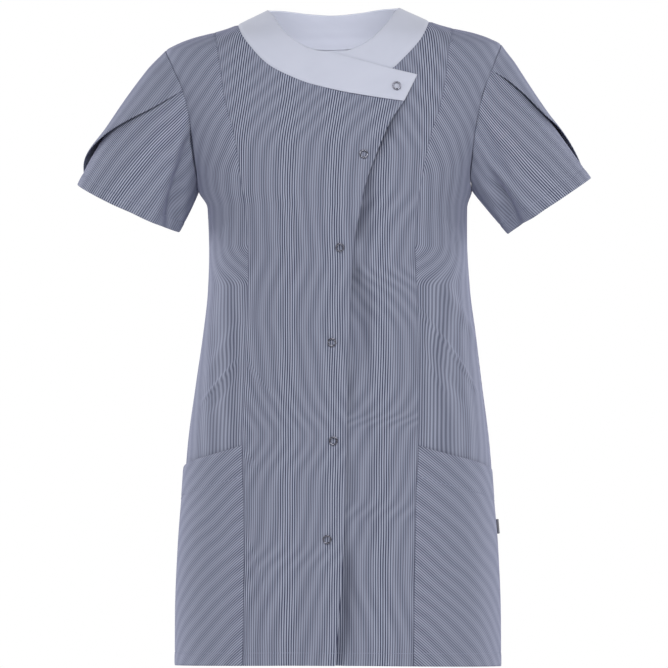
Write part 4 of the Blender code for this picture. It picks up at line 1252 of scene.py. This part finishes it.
# ==== operators
class TUNIC_OT_stage(bpy.types.Operator):
    """Camera, pale floor and soft studio light"""

    bl_idname = "tunic.stage"
    bl_label = "Stage"

    def execute(self, context):
        scene = context.scene
        camera = bpy.data.cameras.new("camera")
        camera.lens, camera.sensor_width, camera.clip_end = CAMERA_LENS, 36.0, 200.0
        eye = put("camera", camera)
        eye.location = CAMERA_PLACE
        eye.rotation_euler = (math.pi / 2, 0.0, 0.0)
        scene.camera = eye
        scene.view_settings.view_transform = "Standard"

        world = bpy.data.worlds.new("studio")
        world.use_nodes = True
        nodes = world.node_tree
        seen = out_of(nodes, "ShaderNodeLightPath", output="Is Camera Ray")
        light = maths(nodes, "MULTIPLY_ADD", seen, 1 - AMBIENT, AMBIENT)
        connect(nodes, nodes.nodes["Background"], [(0, (1.0, 1.0, 1.0, 1.0)), (1, light)])
        scene.world = world

        for name, place, size, power, aim in LAMPS:
            lamp = bpy.data.lights.new(name, "AREA")
            lamp.size, lamp.energy = size, power
            made = put(name, lamp)
            made.location = place
            way = Vector(aim) - Vector(place)
            made.rotation_euler = way.to_track_quat("-Z", "Y").to_euler()
            made.visible_camera = False

        bpy.ops.mesh.primitive_grid_add(
            x_subdivisions=8, y_subdivisions=8, size=FLOOR_SIZE,
            location=(0, 0, CAD_BOX[0][2] - FLOOR_DROP),
        )
        floor = context.object
        floor.name = floor.data.name = "studio_floor"
        floor.data.materials.append(painted_floor(context))
        return {"FINISHED"}


class TUNIC_OT_fronts(bpy.types.Operator):
    """The centre fronts: one laps over and closes at a slanting edge, one lies under it"""

    bl_idname = "tunic.fronts"
    bl_label = "Centre fronts"

    def execute(self, context):
        hem = []
        for side, name, edge, band, grain, bands in (
            (-1, "front_right_over", FRONT_EDGE, OVERBAND_SEAM, OVER_GRAIN, OVER_BANDS),
            (1, "front_left_under", UNDERLAP_EDGE, UNDERBAND_SEAM, UNDER_GRAIN, UNDER_BANDS),
        ):
            places = front_sheet(side, edge, band)
            away = margins(filled(places))
            seam, free = ("left", "right")[::-side]
            out = closing_lift(places) + snap_dents(places) if side < 0 else closing_dip(places)
            out = out + sewn(away, seam, "top") + turned(away, free, "bottom")
            out += faced(away, "bottom", HEM_DEPTH)
            angle, z = places[..., 0], places[..., 1]
            clear = 0.25 + 0.75 * clear_zones(skin(angle, z)[0][..., 0])
            across = girth(angle, z) + side * table_at(grain, z)
            stripes = striped(context, across, clear, table_at(bands, z))
            cloth = body_cloth(context, name, places, out, body_uv(places), stripes)
            hem.append(row_at(*cloth, "bottom", HEM_DEPTH))
        stitch_lines(context, "hem_stitches_fronts", hem)
        return {"FINISHED"}


class TUNIC_OT_side_fronts(bpy.types.Operator):
    """The side fronts, from the princess seams to the side seams and armholes"""

    bl_idname = "tunic.side_fronts"
    bl_label = "Side fronts"

    def execute(self, context):
        for side, where in SIDES:
            places = side_sheet(side)
            away = margins(filled(places))
            inner, outer = ("left", "right")[::side]
            z = places[..., 1]
            dip = np.where(z > UNDERARM_Z, ARMHOLE_DIP, SEAM_DIP)
            out = sewn(away, inner, "top") + sewn(away, outer, dip=dip)
            least = np.where(z < UNDERARM_Z, GRAIN_LEAST, 1.0)
            lean = side * beside_seam(away[inner], least, 1 - least, GRAIN_REACH)
            across = girth(places[..., 0], np.minimum(z, SIDE_GRAIN_TOP))
            across += lean * table_at(GRAIN_SHIFT, z)
            stripes = striped(context, across, beside_seam(away[inner], *SIDE_CLEAR))
            name = f"side_front_{where}"
            body_cloth(context, name, places, out, body_uv(places), stripes)
        return {"FINISHED"}


class TUNIC_OT_pockets(bpy.types.Operator):
    """Pockets over the lower side fronts, with a slanting mouth and a stitched facing"""

    bl_idname = "tunic.pockets"
    bl_label = "Pockets"

    def execute(self, context):
        mouth = np.searchsorted(split(ROWS_TO_SHOULDER, FRONT_SPLITS[0]), ROWS_HEM_TO_MOUTH)
        for side, where in SIDES:
            places = side_sheet(side)[: mouth + 1]
            away = margins(filled(places))
            up = away["bottom"] / (away["bottom"] + away["top"])
            beside = np.minimum(away["left"], away["right"])
            half = (away["left"] + away["right"]) / 2
            risen = 1 - bell(beside / POCKET_SEAM_REACH)
            slack = POCKET_SLACK * np.sin(np.pi * beside / half / 2) * up**2
            out = POCKET_SEAM_STEP + (LAP_STEP - POCKET_SEAM_STEP) * risen + slack
            out += sewn(away, "left", "right") + turned(away, "top", "bottom")
            out += faced(away, "bottom", HEM_DEPTH) + faced(away, "top", MOUTH_DEPTH)
            uv = body_uv(places)
            lean = math.radians(POCKET_GRAIN) * side
            across = (uv[..., 0] * math.cos(lean) + uv[..., 1] * math.sin(lean)) / MM
            clear = beside_seam(away["left" if side > 0 else "right"], *POCKET_CLEAR)
            stripes = striped(context, across * POCKET_FINENESS, clear)
            name = f"pocket_{where}"
            cloth = body_cloth(context, name, places, out, uv, stripes)
            depths = (("bottom", HEM_DEPTH), ("top", MOUTH_DEPTH))
            lines = [row_at(*cloth, edge, depth) for edge, depth in depths]
            stitch_lines(context, name + "_stitches", lines)
        return {"FINISHED"}


class TUNIC_OT_back(bpy.types.Operator):
    """The back, in one piece from side seam to side seam"""

    bl_idname = "tunic.back"
    bl_label = "Back"

    def execute(self, context):
        places = back_sheet()
        away = margins(filled(places))
        z = places[..., 1]
        dip = np.where(z > UNDERARM_Z, ARMHOLE_DIP, SEAM_DIP)
        out = sewn(away, "left", "right", dip=dip) + sewn(away, "top") + turned(away, "bottom")
        out += faced(away, "bottom", HEM_DEPTH)
        uv = body_uv(places)
        around = whole_girth(z) * MM
        uv[..., 0] = uv[..., 0] % around - around / 2
        across = uv[..., 0] / MM
        stripes = striped(context, across, 0.25 + 0.75 * clear_zones(across))
        cloth = body_cloth(context, "back", places, out, uv, stripes)
        stitch_lines(context, "hem_stitches_back", [row_at(*cloth, "bottom", HEM_DEPTH)])
        return {"FINISHED"}


class TUNIC_OT_neckband(bpy.types.Operator):
    """The flat white band round the neck: a pointed front over another, and the back"""

    bl_idname = "tunic.neckband"
    bl_label = "Neckband"

    def execute(self, context):
        for name, seam, top, columns, free, back in (
            ("neckband_right_over", OVERBAND_SEAM, OVERBAND_TOP, BAND_COLUMNS, ["right"], False),
            ("neckband_left_under", UNDERBAND_SEAM, UNDERBAND_TOP, BAND_COLUMNS, ["left"], False),
            ("neckband_back", BACKBAND_SEAM, BACKBAND_TOP, BACKBAND_COLUMNS, [], True),
        ):
            places = band_sheet(seam, top, columns, back)
            away = margins(filled(places))
            out = sewn(away, "bottom") + turned(away, "top", *free)
            if name == "neckband_right_over":
                out = out + closing_lift(places) + snap_dents(places)
            body_cloth(context, name, places, out, band_uv(away))
        return {"FINISHED"}


class TUNIC_OT_sleeves(bpy.types.Operator):
    """Set-in sleeves of two petals, the upper one lapping over the lower one"""

    bl_idname = "tunic.sleeves"
    bl_label = "Sleeves"

    def execute(self, context):
        share = (split(PETAL_ROWS, ROW_SPLITS) / PETAL_ROWS)[:, None]
        across = (split(PETAL_COLUMNS, COLUMN_SPLITS) / PETAL_COLUMNS)[None]
        for side, where in SIDES:
            hidden, edge = table_at(UNDER_PETAL_EDGE, share), table_at(PETAL_EDGES[side], share)
            seam = np.clip(share / PETAL_SEAM_REACH, 0, 1)
            step = PETAL_SEAM_STEP + (1 - PETAL_SEAM_STEP) * step_up(seam)
            arm = hidden + (180.0 - hidden) * across
            under = np.clip((edge - arm) / PETAL_TUCK_REACH, 0, 1)
            out = -PETAL_TUCK * PETAL_STEP * (1 - seam) * under
            self.petal(context, side, f"sleeve_{where}_front_petal", arm, share, out, "left")

            arm = -180.0 + (edge + 180.0) * across
            lapped = step_up((arm - hidden + PETAL_RISE_START) / PETAL_RISE)
            near = bell((edge - arm) / PETAL_FLARE_REACH) * np.clip(share / PETAL_FLARE_START, 0, 1)
            widest = bell((share - PETAL_GAPE_SHARE) / PETAL_GAPE_REACH)
            out = PETAL_STEP * step * lapped + (PETAL_FLARE + PETAL_GAPE[side] * widest) * near
            self.petal(context, side, f"sleeve_{where}_back_petal", arm, share, out, "right")
        return {"FINISHED"}

    def petal(self, context, side, name, arm, share, out, free):
        """One petal, sewn at the armhole and under the arm, with a free edge and a hem."""
        front = free == "left"
        arm, share = np.broadcast_arrays(arm, share)
        smooth, normal = sleeve_skin(side, arm, share)
        away = margins(smooth)
        out = out + sleeve_folds(side, arm, share)
        out = out + sewn(away, "bottom", dip=ARMHOLE_DIP) + sewn(away, "right" if front else "left")
        out = out + turned(away, free, "top") + faced(away, "top", SLEEVE_HEM_DEPTH)
        points = smooth + normal * out[..., None]
        uv = petal_uv(side, arm, share[:, :1])
        across = (uv[..., 0] + (SLEEVE_GRAIN * uv[..., 1] if front else 0)) / MM
        clear = 0.4 + 0.35 * clear_zones(across) if front else 0.2
        clear = clear * (1 - 0.8 * np.clip((np.abs(arm) - PETAL_INSIDE) / PETAL_INSIDE_REACH, 0, 1))
        stripes = striped(context, across, clear)
        columns = np.s_[:, ::-1] if side < 0 else np.s_[:]
        made = cloth_object(
            name, points[columns], uv[columns], striped_poplin(context),
            context.scene.tunic_sizes.cloth_wall, stripes[columns],
        )
        declare(made, name)
        line = row_at(points, normal, "top", SLEEVE_HEM_DEPTH)
        stitch_lines(context, name + "_stitches", [line])


class TUNIC_OT_snaps(bpy.types.Operator):
    """The prong rings of the snaps, on the front that laps over"""

    bl_idname = "tunic.snaps"
    bl_label = "Snaps"

    def execute(self, context):
        for number in range(1, len(SNAPS) + 1):
            self.ring(context, f"snap_{number}", f"snap_ring_{number}")
        return {"FINISHED"}

    def ring(self, context, node, name):
        """One stamped ring with five pressed prongs, where its solid is."""
        sizes = context.scene.tunic_sizes
        corners = np.array([v.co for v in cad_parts[node].data.vertices])
        middle = corners.mean(0)
        facing = np.linalg.svd(corners - middle)[2][2]
        facing = facing if facing[1] < 0 else -facing
        turn = np.linspace(0, 2 * math.pi, RING_STEPS, endpoint=False)[:, None]
        around = np.linspace(0, 2 * math.pi, RING_SECTION, endpoint=False)[None]
        prong = bell(((turn / (2 * math.pi) * PRONGS + 0.5) % 1 - 0.5) / PRONG_REACH)
        radius = sizes.ring_radius + sizes.ring_width * np.cos(around) * (1 + PRONG_BULGE * prong)
        dent = PRONG_DENT * prong * (np.cos(around) < 0.3)
        height = sizes.ring_height * np.sin(around) * (1 - dent)
        points = np.stack(
            [radius * np.cos(turn), radius * np.sin(turn), np.broadcast_to(height, radius.shape)], -1
        )
        index = np.arange(RING_STEPS * RING_SECTION).reshape(RING_STEPS, RING_SECTION)
        right, up = np.roll(index, -1, 0), np.roll(index, -1, 1)
        faces = np.stack([index, right, np.roll(right, -1, 1), up], -1).reshape(-1, 4)
        mesh = smooth_mesh(name, points, faces, nickel_plated_brass(context))
        turned_out = Vector(facing).to_track_quat("Z", "Y").to_matrix().to_4x4()
        mesh.transform(Matrix.Translation(Vector(middle)) @ turned_out)
        made = put(name, mesh)
        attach(made, "root")
        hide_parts(node)


class TUNIC_OT_side_tab(bpy.types.Operator):
    """A plain folded tab in the wearer's left side seam"""

    bl_idname = "tunic.side_tab"
    bl_label = "Side tab"

    def execute(self, context):
        height = LABEL_Z + LABEL_HEIGHT * np.linspace(-0.5, 0.5, 15)[:, None]
        back = np.linspace(0, 1, 13)[None]
        reach = np.degrees(LABEL_REACH / level(LABEL_Z)["wide"])
        angle, height = np.broadcast_arrays(LABEL_ANGLE + reach * back, height)
        smooth, normal = skin(angle, height)
        out = LABEL_GAP + LABEL_STEP * np.clip(back * 4, 0, 1) + LABEL_FLARE * back
        points = smooth + normal * (out + folds_at(angle, height))[..., None]
        uv = band_uv(margins(smooth))
        made = cloth_object("side_tab", points, uv, woven_tab(context), LABEL_WALL)
        declare(made, "side_label")
        return {"FINISHED"}


STEPS = (
    TUNIC_OT_stage, TUNIC_OT_fronts, TUNIC_OT_side_fronts, TUNIC_OT_pockets, TUNIC_OT_back,
    TUNIC_OT_neckband, TUNIC_OT_sleeves, TUNIC_OT_snaps, TUNIC_OT_side_tab,
)


class TUNIC_PT_sidebar(bpy.types.Panel):
    """The tunic's pieces, in the order in which they are made"""

    bl_label = "Work Tunic"
    bl_idname = "TUNIC_PT_sidebar"
    bl_space_type = "VIEW_3D"
    bl_region_type = "UI"
    bl_category = "Tunic"

    def draw(self, context):
        for group in (context.scene.tunic_sizes, context.scene.tunic_colours):
            box = self.layout.box()
            for name in group.__annotations__:
                box.prop(group, name)
        for step in STEPS:
            self.layout.operator(step.bl_idname)


CLASSES = (TunicSizes, TunicColours, *STEPS, TUNIC_PT_sidebar)


def register():
    for kind in CLASSES:
        bpy.utils.register_class(kind)
    bpy.types.Scene.tunic_sizes = bpy.props.PointerProperty(type=TunicSizes)
    bpy.types.Scene.tunic_colours = bpy.props.PointerProperty(type=TunicColours)


def unregister():
    del bpy.types.Scene.tunic_sizes
    del bpy.types.Scene.tunic_colours
    for kind in reversed(CLASSES):
        bpy.utils.unregister_class(kind)


def main():
    register()
    for step in STEPS:
        group, name = step.bl_idname.split(".")
        getattr(getattr(bpy.ops, group), name)()


if __name__ == "__main__":
    main()
